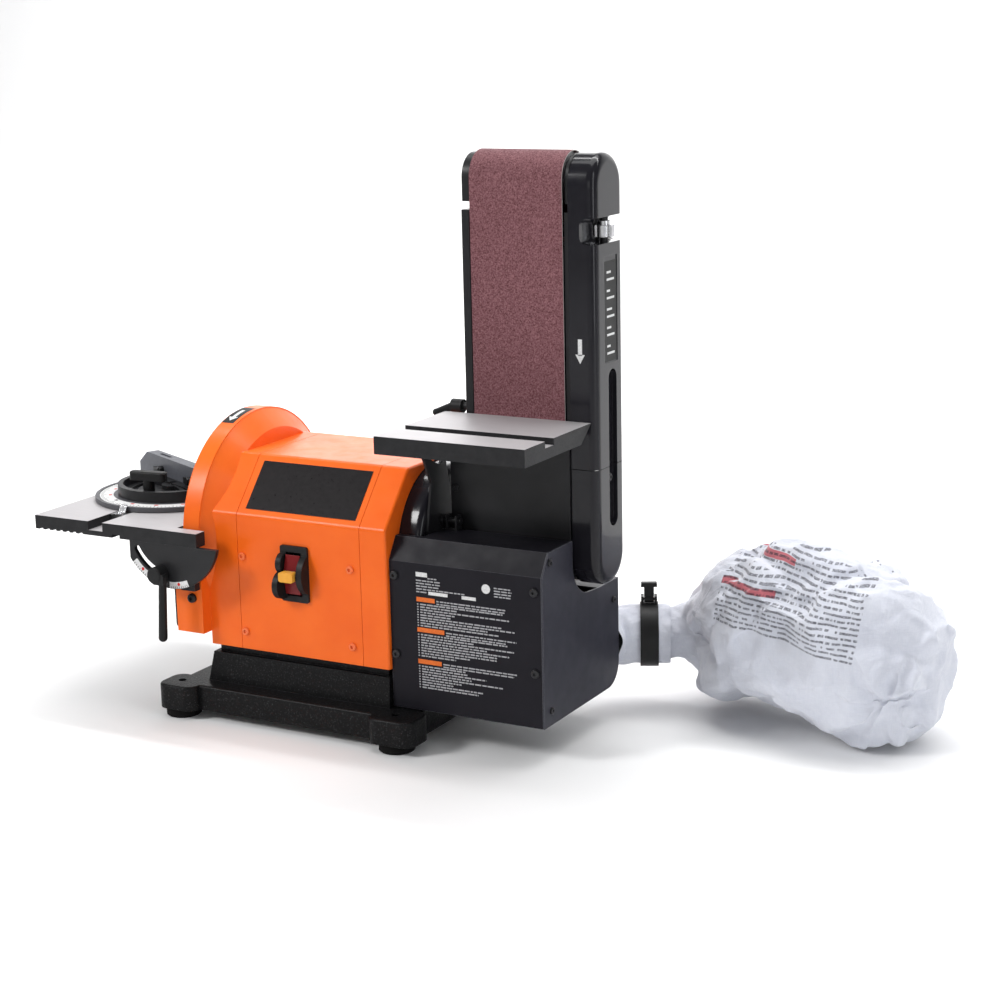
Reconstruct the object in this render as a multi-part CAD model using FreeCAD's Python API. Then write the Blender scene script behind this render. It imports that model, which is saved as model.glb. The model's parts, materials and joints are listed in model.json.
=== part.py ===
import FreeCAD, Part
import math
import os

from FreeCAD import Vector

# Belt disc sander: 4 x 36 in belt, 8 in disc, both driven directly by one motor.
# Origin: centre of the base bolt pattern on the floor. +X runs along the motor shaft
# towards the belt, -Y is the front, +Z is up. Millimetres.

# ---------------------------------------------------------------- driving dimensions
AXIS_Z = 190.0            # height of the motor shaft
SHAFT_R = 8.0
RUN_GAP = 0.05            # radial running clearance

BELT_WIDTH = 101.6        # 4 in
BELT_X0 = 178.0
BELT_X1 = BELT_X0 + BELT_WIDTH
BELT_R = 27.0             # outside of the belt where it goes round a roller
BELT_T = 1.0
BELT_SPAN = 373.7         # drum centre to idler centre, for a 36 in loop
IDLER_Z = AXIS_Z + BELT_SPAN
ROLLER_R = BELT_R - BELT_T - 0.3

DISC_R = 101.6            # 8 in
DISC_FACE_X = -124.5

HOUSING_HALF = 107.0
HOUSING_Z0 = 77.0
HOUSING_Z1 = 221.0
HOUSING_TOP = 276.0
HOUSING_TOP_HALF = 59.0
WALL = 4.0
GUARD_R = 121.0
GUARD_X0 = -123.0
GUARD_X1 = -102.0
SKIRT_Z = 91.0
APRON_TOP = 166.0
SKIRT_X0 = -135.5
FAIRING_X1 = -84.0        # sloped ring that joins the guard to the housing
FAIRING_R = 101.0
BELLY_STEP = 14.0         # the guard's belly under the disc is this much inside GUARD_R
SEAM_LEFT = -63.0
SEAM_RIGHT = 87.0
HOUSING_END = 118.0
SEAM_GAP = 0.5
BELL_R = 83.0             # round end bell on the belt side
BELL_X1 = 143.0

BASE_X0 = -138.0
BASE_X1 = 151.0
BASE_HALF_Y = 130.0
BASE_Z0 = 10.0
BASE_Z1 = 36.5
BOLT_X = 133.0
BOLT_Y = 122.0
BOLT_R = 4.25
FOOT_R = 19.0
EAR_HALF = 21.0
EAR_SPANS = ((-153.0, -105.0), (108.0, 161.0))

BOX_X0 = 118.2
BOX_X1 = 291.0
BOX_FRONT = -102.0
BOX_BACK = 65.0
BOX_Z0 = 38.0
BOX_REAR_TOP = 151.0
BOX_TOP = 213.0
SHEET = 1.6
NOTCH_R = 37.5

COVER_X0 = 286.0          # tall cover on the right of the belt arm
COVER_X1 = 314.5
COVER_R = 31.4            # its round ends, and half its depth
COVER_Y = 3.6             # its middle plane, a little behind the shaft
COVER_LOW_Z = 193.0
COVER_TOP_Z = 557.4
COVER_SEAM = 283.0

BELT_TABLE_TOP = 331.0
BELT_TABLE_T = 17.5
BELT_TABLE_X0 = 146.0
BELT_TABLE_X1 = 309.0
BELT_TABLE_FRONT = -166.0
BELT_TABLE_REAR = -29.5

DISC_TABLE_TOP = 204.0
DISC_TABLE_T = 15.0
DISC_TABLE_X0 = -306.0
DISC_TABLE_X1 = -127.0
DISC_TABLE_HALF = 139.0
DISC_TABLE_WING_X = -92.0
DISC_TABLE_WING_Y = 124.0
SLOT_X = -224.0
SLOT_W = 19.05
SLOT_D = 9.5

GAUGE_Y = -2.0            # miter gauge pivot
GAUGE_ANGLE = -26.3       # how the gauge is turned at rest
GAUGE_R = 86.0            # protractor plate
HEAD_R = 61.0             # raised casting on it
GAUGE_LOCK_R = 43.0       # the lock knob's arc slot

PORT_X = 263.0
PORT_Z = 78.0
SLEEVE_R = 31.5
CLAMP_DIR = Vector(0.9, 0.436, 0).normalize()


# ---------------------------------------------------------------- helpers
def box(x0, x1, y0, y1, z0, z1):
    return Part.makeBox(x1 - x0, y1 - y0, z1 - z0, Vector(x0, y0, z0))


def rod_x(r, x0, x1, y=0.0, z=AXIS_Z):
    return Part.makeCylinder(r, x1 - x0, Vector(x0, y, z), Vector(1, 0, 0))


def rod_y(r, y0, y1, x, z):
    return Part.makeCylinder(r, y1 - y0, Vector(x, y0, z), Vector(0, 1, 0))


def rod_z(r, z0, z1, x, y):
    return Part.makeCylinder(r, z1 - z0, Vector(x, y, z0), Vector(0, 0, 1))


def ring_x(r_out, r_in, x0, x1, y=0.0, z=AXIS_Z):
    return rod_x(r_out, x0, x1, y, z).cut(rod_x(r_in, x0 - 1, x1 + 1, y, z))


def fuse(shapes):
    result = shapes[0]
    for shape in shapes[1:]:
        result = result.fuse(shape)
    return result.removeSplitter()


def face_from(points, place):
    """A flat face through 2-D points, put in space by place(u, v)."""
    corners = [place(u, v) for u, v in points]
    return Part.Face(Part.makePolygon(corners + corners[:1]))


def prism_x(points, x0, x1):
    return face_from(points, lambda y, z: Vector(x0, y, z)).extrude(Vector(x1 - x0, 0, 0))


def prism_y(points, y0, y1):
    return face_from(points, lambda x, z: Vector(x, y0, z)).extrude(Vector(0, y1 - y0, 0))


def prism_z(points, z0, z1):
    return face_from(points, lambda x, y: Vector(x, y, z0)).extrude(Vector(0, 0, z1 - z0))


def stadium_x(r, x0, x1, z0, z1, y=0.0):
    """Upright slot shape in the YZ plane between two end centres, extruded along X."""
    middle = box(x0, x1, y - r, y + r, z0, z1)
    return fuse([middle, rod_x(r, x0, x1, y, z0), rod_x(r, x0, x1, y, z1)])


def fillet(shape, radius, wanted):
    edges = [edge for edge in shape.Edges if wanted(edge)]
    return shape.makeFillet(radius, edges) if edges else shape


def chamfer(shape, size, wanted):
    edges = [edge for edge in shape.Edges if wanted(edge)]
    return shape.makeChamfer(size, edges) if edges else shape


def on_x(x):
    """Picks the edges that lie wholly in the plane at x."""
    return lambda edge: all(abs(v.X - x) < 1e-4 for v in edge.Vertexes)


def on_z(z):
    return lambda edge: all(abs(v.Z - z) < 1e-4 for v in edge.Vertexes)


def upright(edge):
    box_of_edge = edge.BoundBox
    return box_of_edge.XLength < 1e-4 and box_of_edge.YLength < 1e-4


def turned(shape, centre, axis, degrees):
    copy = shape.copy()
    copy.rotate(Vector(*centre), Vector(*axis), degrees)
    return copy


def screw(head_point, inward, head_r=4.2, head_h=2.4, shank_r=2.0, shank=7.0):
    """Pan-head screw with a hex socket. head_point is where the head meets the panel."""
    inward = Vector(*inward)
    inward.normalize()
    top = Vector(*head_point) - inward * head_h
    head = Part.makeCylinder(head_r, head_h, top, inward)
    head = fillet(head, head_h * 0.45, lambda e: e.CenterOfMass.distanceToPoint(top) < 1e-3)
    body = head.fuse(Part.makeCylinder(shank_r, shank, Vector(*head_point), inward))
    socket = Part.makeCylinder(head_r * 0.42, head_h * 0.6, top - inward * 0.01, inward)
    return body.cut(socket)


def both_sides(shape):
    """The shape and its mirror image across the machine's middle plane."""
    return [shape, shape.mirror(Vector(0, 0, 0), Vector(0, 1, 0))]


def save(name, *shapes):
    solids = []
    for shape in shapes:
        solids.extend(shape.Solids)
    for solid in solids:
        if not solid.isValid() or solid.Volume < 1.0:
            print("CHECK", name, "valid", solid.isValid(), "volume", round(solid.Volume, 2))
    whole = solids[0] if len(solids) == 1 else Part.makeCompound(solids)
    whole.exportStep("parts/" + name + ".step")


# ---------------------------------------------------------------- base
def bolt_places():
    return [(sx * BOLT_X, sy * BOLT_Y) for sx in (-1, 1) for sy in (-1, 1)]


def make_base():
    plate = box(BASE_X0, BASE_X1, -BASE_HALF_Y, BASE_HALF_Y, BASE_Z0, BASE_Z1)
    plate = fillet(plate, 12.0, upright)
    ears = []
    for x0, x1 in EAR_SPANS:
        ear = box(x0, x1, -BOLT_Y - EAR_HALF, -BOLT_Y + EAR_HALF, BASE_Z0, BASE_Z1)
        ears.extend(both_sides(fillet(ear, 13.0, upright)))
    plate = fuse([plate] + ears)
    plate = fillet(plate, 2.5, on_z(BASE_Z1))
    foot_x0, foot_x1, foot_half = -108.0, 117.0, 108.0
    top_x0, top_x1, top_half = -102.0, 116.0, 105.0
    lower = [(foot_x0, -foot_half), (foot_x1, -foot_half), (foot_x1, foot_half), (foot_x0, foot_half)]
    upper = [(top_x0, -top_half), (top_x1, -top_half), (top_x1, top_half), (top_x0, top_half)]
    wires = []
    for points, z in ((lower, BASE_Z1), (upper, 68.0)):
        corners = [Vector(x, y, z) for x, y in points]
        wires.append(Part.makePolygon(corners + corners[:1]))
    pedestal = Part.makeLoft(wires, True, True)
    neck = box(-97.0, 112.0, -99.0, 99.0, 68.0, HOUSING_Z0)
    body = fuse([plate, pedestal, neck])
    wall = 8.0
    hollow_low = box(BASE_X0 + wall, BASE_X1 - wall, -BASE_HALF_Y + wall, BASE_HALF_Y - wall,
                     BASE_Z0 - 1, BASE_Z1 - wall)
    hollow_high = box(-90.0, 104.0, -91.0, 91.0, BASE_Z0, HOUSING_Z0 + 1)
    bosses = [rod_z(14.0, BASE_Z0, BASE_Z1, x, y) for x, y in bolt_places()]
    body = body.cut(hollow_low).cut(hollow_high)
    body = fuse([body] + bosses)
    for x, y in bolt_places():
        body = body.cut(rod_z(BOLT_R, BASE_Z0 - 1, BASE_Z1 + 1, x, y))
    inlet = rod_y(9.0, 80.0, 130.0, 40.0, 52.0)
    return body.cut(inlet)


def make_feet():
    feet = []
    for x, y in bolt_places():
        pad = chamfer(rod_z(FOOT_R - 0.5, 0.0, BASE_Z0, x, y), 1.2, on_z(0.0))
        feet.append(pad.cut(rod_z(BOLT_R, -1, BASE_Z0 + 1, x, y)))
    return feet


def make_cord_inlet(base):
    flange = rod_y(13.0, 105.0, 111.0, 40.0, 52.0).cut(base)
    sleeve = rod_y(8.9, 95.0, 108.2, 40.0, 52.0)
    return fuse([flange, sleeve]).cut(rod_y(4.2, 90.0, 115.0, 40.0, 52.0))


# ---------------------------------------------------------------- motor housing
def housing_outline(inset):
    """The housing's section as (y, z) points, with its flanks moved in by inset."""
    side = HOUSING_HALF - inset
    top_half = HOUSING_TOP_HALF - inset * 0.45
    shoulder = HOUSING_Z1 - inset * 0.45
    top = HOUSING_TOP - inset
    low = HOUSING_Z0 if inset == 0 else HOUSING_Z0 - 5.0
    return [(-side, low), (side, low), (side, shoulder),
            (top_half, top), (-top_half, top), (-side, shoulder)]


def housing_block(x0, x1, inset=0.0):
    block = prism_x(housing_outline(inset), x0, x1)
    if inset > 0:
        return block
    return fillet(block, 7.0, lambda e: (e.BoundBox.XLength > (x1 - x0) * 0.9
                                         and e.CenterOfMass.z > HOUSING_Z1 - 1))


def housing_screws():
    """Screws of the housing seams and of the rear, as (point, inward) pairs."""
    places = []
    for x in (-57.5, 75.0):
        for z in (177.0, 96.0):
            places.append(((x, -HOUSING_HALF, z), (0, 1, 0)))
            places.append(((x, HOUSING_HALF, z), (0, -1, 0)))
    return [screw(point, inward, shank=8.0) for point, inward in places]


def guard_profile(r):
    """Round above the shaft, straight-sided below it, with a belly for the disc's lowest part."""
    floor = SKIRT_Z + (GUARD_R - r)
    disc = rod_x(r, GUARD_X0, GUARD_X1).common(box(GUARD_X0, GUARD_X1, -r, r, floor, 400))
    skirt = box(GUARD_X0, GUARD_X1, -r, r, floor, AXIS_Z)
    belly = rod_x(r - BELLY_STEP, GUARD_X0, GUARD_X1)
    return fuse([disc, skirt, belly])


def make_housing_left():
    outer = guard_profile(GUARD_R)
    apron = box(SKIRT_X0, GUARD_X0, -GUARD_R, GUARD_R, SKIRT_Z, APRON_TOP)
    belly = rod_x(GUARD_R - BELLY_STEP, -129.0, GUARD_X0).common(box(-130, -100, -120, 120, 50, 120))
    shell = housing_block(GUARD_X1, SEAM_LEFT - SEAM_GAP / 2)
    fairing = Part.makeCone(GUARD_R - 1.5, FAIRING_R, FAIRING_X1 - GUARD_X1,
                            Vector(GUARD_X1, 0, AXIS_Z), Vector(1, 0, 0))
    fairing = fairing.common(box(GUARD_X1, FAIRING_X1, -200, 200, HOUSING_Z0 + 20, 400))
    body = fuse([outer, apron, belly, shell, fairing])
    body = fillet(body, 2.0, lambda e: on_x(GUARD_X0)(e) and e.CenterOfMass.z > AXIS_Z)
    inner = guard_profile(GUARD_R - WALL)
    back_wall = box(GUARD_X1 - WALL, GUARD_X1 + 1, -200, 200, 0, 400)
    inner = inner.cut(back_wall)
    inner_apron = box(SKIRT_X0 - 1, GUARD_X0 + 1, -GUARD_R + WALL, GUARD_R - WALL, SKIRT_Z + WALL, 170.0)
    inner_belly = rod_x(GUARD_R - WALL - BELLY_STEP, -126.0, GUARD_X0 + 1)
    body = body.cut(inner).cut(inner_apron).cut(inner_belly)
    body = body.cut(prism_x(housing_outline(WALL), GUARD_X1, SEAM_LEFT + 1))
    return body.cut(rod_x(28.0, GUARD_X1 - 10, GUARD_X1 + 10))


def make_housing_center(panel, screws, switch_hole):
    x0 = SEAM_LEFT + SEAM_GAP / 2
    x1 = SEAM_RIGHT - SEAM_GAP / 2
    shell = housing_block(x0, x1).cut(housing_block(x0 - 1, x1 + 1, WALL))
    for piece in [panel, switch_hole] + screws:
        shell = shell.cut(piece)
    return shell


def make_housing_right():
    x0 = SEAM_RIGHT + SEAM_GAP / 2
    shell = housing_block(x0, HOUSING_END)
    shell = fillet(shell, 2.5, lambda e: on_x(HOUSING_END)(e) and e.CenterOfMass.z > HOUSING_Z0 + 1)
    shell = shell.cut(housing_block(x0 - 1, HOUSING_END - WALL, WALL))
    return shell.cut(rod_x(BELL_R + 0.8, HOUSING_END - 10, HOUSING_END + 1))


def make_label_panel():
    """Blank name panel let into the front slope of the housing."""
    low = Vector(0, -HOUSING_HALF, HOUSING_Z1)
    high = Vector(0, -HOUSING_TOP_HALF, HOUSING_TOP)
    slope = (high - low).normalize()
    outward = Vector(0, -slope.z, slope.y)
    a = low + slope * 8.0
    b = high - slope * 8.0
    depth = 1.2
    points = [(p.y, p.z) for p in (a - outward * depth, a + outward * 0.4,
                                   b + outward * 0.4, b - outward * depth)]
    return prism_x(points, -54.0, 80.0)


def make_end_bell():
    """Round black end bell that carries the belt arm's pivot boss."""
    drum = rod_x(BELL_R, 110.0, BELL_X1)
    drum = fillet(drum, 7.0, lambda e: on_x(BELL_X1)(e))
    boss = rod_x(19.0, BELL_X1, 166.0)
    body = fuse([drum, boss])
    body = body.cut(rod_x(BELL_R - 6.0, 109.0, 126.0))
    hub = rod_x(28.0, 110.0, 127.0)
    body = fuse([body, hub])
    body = body.cut(rod_x(20.0, 109.0, 122.0))
    return body.cut(rod_x(11.0, 100.0, 170.0))


def make_drive_end_plate():
    """Bearing plate inside the disc end of the housing."""
    plate = rod_x(96.0, -101.5, -95.5).common(housing_block(-101.5, -95.5, WALL + 0.3))
    hub = rod_x(28.0, -101.5, -84.0)
    body = fuse([plate, hub])
    body = body.cut(rod_x(20.0, -96.0, -83.0))
    body = body.cut(rod_x(13.0, -103.0, -83.0))
    for k in range(6):
        angle = math.radians(60 * k + 30)
        body = body.cut(rod_x(13.0, -103, -94, 62 * math.cos(angle), AXIS_Z + 62 * math.sin(angle)))
    return body


def make_bearings():
    rings = []
    for x0 in (-96.0, 110.0):
        outer = ring_x(20.0, 15.5, x0, x0 + 12)
        inner = ring_x(11.5, SHAFT_R + RUN_GAP, x0, x0 + 12)
        web = ring_x(15.5, 11.5, x0 + 2, x0 + 10)
        rings.append(fuse([outer, inner, web]))
    return rings


def make_stator():
    ring = ring_x(78.0, 44.0, -35.0, 55.0)
    for k in range(18):
        angle = math.radians(20 * k)
        ring = ring.cut(rod_x(5.0, -36, 56, 52 * math.cos(angle), AXIS_Z + 52 * math.sin(angle)))
    return ring


def make_windings():
    coils = []
    for x0, x1 in ((-58.0, -35.0), (55.0, 62.0)):
        coils.append(fillet(ring_x(66.0, 50.0, x0, x1), 2.5, lambda e: True))
    return coils


def make_capacitor():
    can = rod_x(19.0, -30.0, 45.0, -40.0, 48.0)
    can = fillet(can, 2.0, lambda e: True)
    tabs = [box(45.0, 53.0, y - 1, y + 1, 45.0, 51.0) for y in (-46.0, -34.0)]
    return fuse([can] + tabs)


# ---------------------------------------------------------------- switch
SWITCH_X0, SWITCH_X1 = -8.0, 25.0
SWITCH_Z0, SWITCH_Z1 = 136.0, 195.0
SWITCH_Y = -HOUSING_HALF


def make_switch_hole():
    return box(SWITCH_X0 + 4, SWITCH_X1 - 4, SWITCH_Y - 5, SWITCH_Y + 10, SWITCH_Z0 + 4, SWITCH_Z1 - 4)


def make_switch_body():
    bezel = box(SWITCH_X0, SWITCH_X1, SWITCH_Y - 3, SWITCH_Y, SWITCH_Z0, SWITCH_Z1)
    bezel = fillet(bezel, 2.5, lambda e: e.BoundBox.YLength > 2.9)
    can = box(SWITCH_X0 + 4, SWITCH_X1 - 4, SWITCH_Y, SWITCH_Y + 25, SWITCH_Z0 + 4, SWITCH_Z1 - 4)
    left = rod_x(14.5, SWITCH_X0, SWITCH_X0 + 6.5, SWITCH_Y - 6, 154.0)
    left_top = rod_x(11.0, SWITCH_X0, SWITCH_X0 + 6.5, SWITCH_Y - 2, 176.0)
    right = rod_x(23.0, SWITCH_X1 - 7, SWITCH_X1, SWITCH_Y + 8, 165.5)
    front = box(SWITCH_X0 - 1, SWITCH_X1 + 1, SWITCH_Y - 40, SWITCH_Y, SWITCH_Z0 - 5, SWITCH_Z1 + 5)
    cheeks = fuse([left, left_top, right]).common(front)
    body = fuse([bezel, can, cheeks])
    well = box(-1.0, 17.5, SWITCH_Y - 30, SWITCH_Y + 12, 142.5, 188.5)
    pivots = [rod_x(2.0, x, x + 1.7, SWITCH_Y - 1, 165.5) for x in (-1.5, 16.3)]
    return fuse([body.cut(well)] + pivots)


def make_switch_rocker():
    profile = [(SWITCH_Y + 6, 148.0), (SWITCH_Y + 6, 183.0), (SWITCH_Y - 4, 186.0),
               (SWITCH_Y - 9.5, 165.5), (SWITCH_Y - 6, 145.0)]
    rocker = prism_x(profile, -0.5, 17.0)
    rocker = rocker.cut(rod_x(2.06, -2, 0.5, SWITCH_Y - 1, 165.5))
    rocker = rocker.cut(rod_x(2.06, 16.0, 18, SWITCH_Y - 1, 165.5))
    return rocker.cut(box(3.4, 13.1, SWITCH_Y - 12, SWITCH_Y + 4, 160.9, 170.1))


def make_safety_key():
    blade = box(3.5, 13.0, SWITCH_Y - 10, SWITCH_Y + 3, 161.0, 170.0)
    grip = box(-0.4, 16.9, SWITCH_Y - 19, SWITCH_Y - 10, 160.4, 170.6)
    grip = fillet(grip, 2.5, lambda e: e.BoundBox.YLength > 8)
    return fuse([blade, grip])


# ---------------------------------------------------------------- disc side
def make_lower_disc_cover():
    plate = box(SKIRT_X0 - 3.5, SKIRT_X0, -GUARD_R + 2, GUARD_R - 2, SKIRT_Z + 1.5, 165.0)
    return fillet(plate, 6.0, lambda e: e.BoundBox.XLength > 3 and e.BoundBox.YLength < 0.1)


def make_disc_cover_bolts():
    bolt = screw((-114.0, -GUARD_R, 129.0), (0, 1, 0),
                 head_r=5.0, head_h=4.0, shank_r=2.5, shank=WALL + 2)
    return both_sides(bolt)


def make_disc_plate():
    disc = rod_x(DISC_R - 0.6, DISC_FACE_X + 1.3, DISC_FACE_X + 9.3)
    hub = rod_x(20.0, DISC_FACE_X + 9.3, -103.5)
    body = fuse([disc, hub])
    return body.cut(rod_x(SHAFT_R, DISC_FACE_X + 9.3, -100.0))


def make_sanding_disc():
    return rod_x(DISC_R, DISC_FACE_X, DISC_FACE_X + 1.3)


TRUNNION_R = 62.0
LOCK_R = 48.0
LOCK_ANGLE = -104.6


def around_tilt(radius, degrees):
    """A point (x, z) at a radius and angle about the disc table's tilt axis."""
    angle = math.radians(degrees)
    return (DISC_TABLE_X1 + radius * math.cos(angle), DISC_TABLE_TOP + radius * math.sin(angle))


def sector_y(radius, y0, y1):
    return rod_y(radius, y0, y1, DISC_TABLE_X1, DISC_TABLE_TOP)


def arc_slot_y(radius, width, start, end, y0, y1):
    """A slot of the given width on an arc about the disc table's tilt axis."""
    band = sector_y(radius + width / 2, y0, y1).cut(sector_y(radius - width / 2, y0 - 1, y1 + 1))
    reach = radius * 3
    fan = [(DISC_TABLE_X1, DISC_TABLE_TOP)]
    for k in range(5):
        fan.append(around_tilt(reach, start + (end - start) * k / 4))
    band = band.common(prism_y(fan, y0, y1))
    ends = [rod_y(width / 2, y0, y1, *around_tilt(radius, angle)) for angle in (start, end)]
    return fuse([band] + ends)


def make_table_bracket():
    """Fixed quadrant on the guard's front side; the rear one is its mirror image."""
    y0, y1 = -133.6, -129.6
    under = DISC_TABLE_TOP - DISC_TABLE_T - 0.6
    swept = DISC_TABLE_T * math.sqrt(2) + 1.0
    low = 120.0
    corner = DISC_TABLE_X1 + under - DISC_TABLE_TOP + swept
    clear_of_table = [(-96.0, low), (-96.0, under), (corner, under), (corner - under + low, low)]
    plate = sector_y(TRUNNION_R - 1, y0, y1).common(prism_y(clear_of_table, y0 - 1, y1 + 1))
    foot = box(-122.0, -104.0, y1, -GUARD_R, 139.0, 172.0)
    body = fuse([plate, foot])
    bolt_x, bolt_z = around_tilt(LOCK_R, LOCK_ANGLE)
    return body.cut(rod_y(3.5 + RUN_GAP, y0 - 1, y1 + 1, bolt_x, bolt_z))


def make_table_trunnion():
    y0, y1 = -139.0, -134.0
    top = DISC_TABLE_TOP - DISC_TABLE_T
    plate = sector_y(TRUNNION_R, y0, y1).common(box(-179, -60, y0 - 1, y1 + 1, 120, top))
    rail = box(-179, -92, y0, y1, top - 8, top)
    body = fuse([plate, rail])
    return body.cut(arc_slot_y(LOCK_R, 7.6, LOCK_ANGLE - 46.5, LOCK_ANGLE, y0 - 1, y1 + 1))


def make_disc_lock_lever():
    """Front clamping lever: stud through the arc slot, hub and hanging handle."""
    bolt_x, bolt_z = around_tilt(LOCK_R, LOCK_ANGLE)
    stud = rod_y(3.5, -139.5, -125.0, bolt_x, bolt_z)
    hub = rod_y(9.0, -153.0, -139.5, bolt_x, bolt_z)
    hub = fillet(hub, 2.0, lambda e: abs(e.CenterOfMass.y + 153.0) < 0.01)
    shoulder = Vector(bolt_x + 8.0, -148.0, bolt_z - 5.0)
    end = Vector(-134.0, -149.0, 91.0)
    neck = box(bolt_x - 3.0, bolt_x + 12.0, -152.0, -144.0, bolt_z - 9.5, bolt_z + 2.0)
    neck = fillet(neck, 3.0, lambda e: e.BoundBox.YLength > 7.9)
    handle = Part.makeCone(4.2, 4.8, (end - shoulder).Length, shoulder, end - shoulder)
    tip = Part.makeSphere(4.8, end)
    return fuse([hub, stud, neck, handle, tip])


def make_rear_lock_nut():
    bolt_x, bolt_z = around_tilt(LOCK_R, LOCK_ANGLE)
    stud = rod_y(3.5, 129.6, 139.5, bolt_x, bolt_z)
    return fuse([rod_y(8.0, 139.5, 147.0, bolt_x, bolt_z), stud])


def make_disc_table():
    t0 = DISC_TABLE_TOP - DISC_TABLE_T
    plate = box(DISC_TABLE_X0, DISC_TABLE_X1, -DISC_TABLE_HALF, DISC_TABLE_HALF, t0, DISC_TABLE_TOP)
    wing = box(DISC_TABLE_X1 - 1, DISC_TABLE_WING_X, -DISC_TABLE_HALF, -DISC_TABLE_WING_Y,
               t0, DISC_TABLE_TOP)
    body = fuse([plate] + both_sides(wing))
    bevel = prism_y([(DISC_TABLE_X1 + 1, t0 - 1), (DISC_TABLE_X1 + 1, DISC_TABLE_TOP + 1 - 1.2),
                     (DISC_TABLE_X1 - DISC_TABLE_T - 1, t0 - 1)], -DISC_TABLE_WING_Y, DISC_TABLE_WING_Y)
    body = body.cut(bevel)
    slot = box(SLOT_X - SLOT_W / 2, SLOT_X + SLOT_W / 2, -200, 200,
               DISC_TABLE_TOP - SLOT_D, DISC_TABLE_TOP + 1)
    body = body.cut(slot)
    for k in range(7):
        groove = rod_y(3.0, -200, 200, -298.0 + 9.0 * k, t0 - 1.2)
        body = body.cut(groove)
    relief = box(SLOT_X + 22, SLOT_X + 32, -200, 200, t0 - 1, t0 + 3.5)
    return body.cut(relief)


# ---------------------------------------------------------------- miter gauge
def gauge(shape):
    """Moves a gauge piece from its own straight-ahead frame to where it rests."""
    moved = turned(shape, (0, 0, 0), (0, 0, 1), GAUGE_ANGLE)
    moved.translate(Vector(SLOT_X, GAUGE_Y, DISC_TABLE_TOP))
    return moved


def make_miter_bar():
    bar = box(SLOT_X - 9.3, SLOT_X + 9.3, -101.0, 76.0, DISC_TABLE_TOP - 9.0, DISC_TABLE_TOP - 0.4)
    seat = rod_z(9.0, DISC_TABLE_TOP - 0.4, DISC_TABLE_TOP + 0.4, SLOT_X, GAUGE_Y)
    pin = rod_z(4.0, DISC_TABLE_TOP, DISC_TABLE_TOP + 13.0, SLOT_X, GAUGE_Y)
    body = fuse([bar, seat, pin])
    return body.cut(rod_z(3.0, DISC_TABLE_TOP - 7.0, DISC_TABLE_TOP, SLOT_X, GAUGE_Y - GAUGE_LOCK_R))


def lock_slot(z0, z1):
    """Arc slot of the gauge's lock knob, in the gauge's own frame."""
    half = 3.8
    band = rod_z(GAUGE_LOCK_R + half, z0, z1, 0, 0).cut(rod_z(GAUGE_LOCK_R - half, z0 - 1, z1 + 1, 0, 0))
    fan = [(0, 0)]
    for degrees in (-160, -125, -90, -55, -20):
        angle = math.radians(degrees)
        fan.append((130 * math.cos(angle), 130 * math.sin(angle)))
    return band.common(prism_z(fan, z0, z1))


def make_miter_scale():
    """Half-round protractor plate with a raised outer rim."""
    disc = rod_z(GAUGE_R, 0.6, 5.4, 0, 0)
    groove = rod_z(GAUGE_R - 4.0, 4.6, 6.0, 0, 0).cut(rod_z(HEAD_R, 4.0, 7.0, 0, 0))
    disc = disc.cut(groove)
    disc = disc.cut(box(-100, 100, 6.6, 100, -1, 8))
    return gauge(disc.cut(lock_slot(-1, 8)).cut(rod_z(4.06, -1, 20, 0, 0)))


def make_miter_head():
    """Casting on the protractor: rim, floor, hub and two ribs."""
    body = rod_z(HEAD_R, 5.4, 17.0, 0, 0).cut(rod_z(HEAD_R - 6.0, 8.4, 18.0, 0, 0))
    hub = rod_z(13.0, 8.4, 13.0, 0, 0)
    back = box(-56, 56, -4.0, 6.6, 8.4, 15.0)
    ribs = []
    for degrees in (-168, -12):
        rib = box(10.0, HEAD_R - 3.0, -2.5, 2.5, 8.4, 14.0)
        ribs.append(turned(rib, (0, 0, 0), (0, 0, 1), degrees))
    body = fuse([body, hub, back] + ribs)
    body = body.cut(box(-100, 100, 6.6, 100, 0, 30))
    return gauge(body.cut(lock_slot(0, 30)).cut(rod_z(4.06, -1, 20, 0, 0)))


def make_miter_fence():
    profile = [(-98.0, 1.2), (84.0, 1.2), (84.0, 22.0), (66.0, 36.0), (-78.0, 36.0), (-98.0, 22.0)]
    fence = prism_y(profile, 6.6, 21.2)
    for x in (-44.0, 40.0):
        fence = fence.cut(box(x - 13, x + 13, 12.0, 16.0, 30.0, 37.0))
    return gauge(fence)


def make_fence_screws():
    screws = []
    for x in (-40.0, 34.0):
        wing = box(x - 8.5, x + 8.5, -0.4, 2.2, 18.0, 25.0)
        hub = rod_y(4.5, -1.5, 6.6, x, 21.5)
        screws.append(gauge(fuse([hub, wing])))
    return screws


def make_miter_knob():
    """T-handled lock knob, screwed into the bar through the gauge's arc slot."""
    y = GAUGE_Y - GAUGE_LOCK_R
    top = DISC_TABLE_TOP
    stud = rod_z(2.95, top - 6.0, top + 9.0, SLOT_X, y)
    post = rod_z(6.4, top + 8.7, top + 27.0, SLOT_X, y)
    grip = box(SLOT_X - 22, SLOT_X + 22, y - 6, y + 6, top + 26.0, top + 36.0)
    grip = fillet(grip, 5.0, upright)
    grip = fillet(grip, 2.5, on_z(top + 36.0))
    return turned(fuse([stud, post, grip]), (SLOT_X, y, 0), (0, 0, 1), 8)


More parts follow.
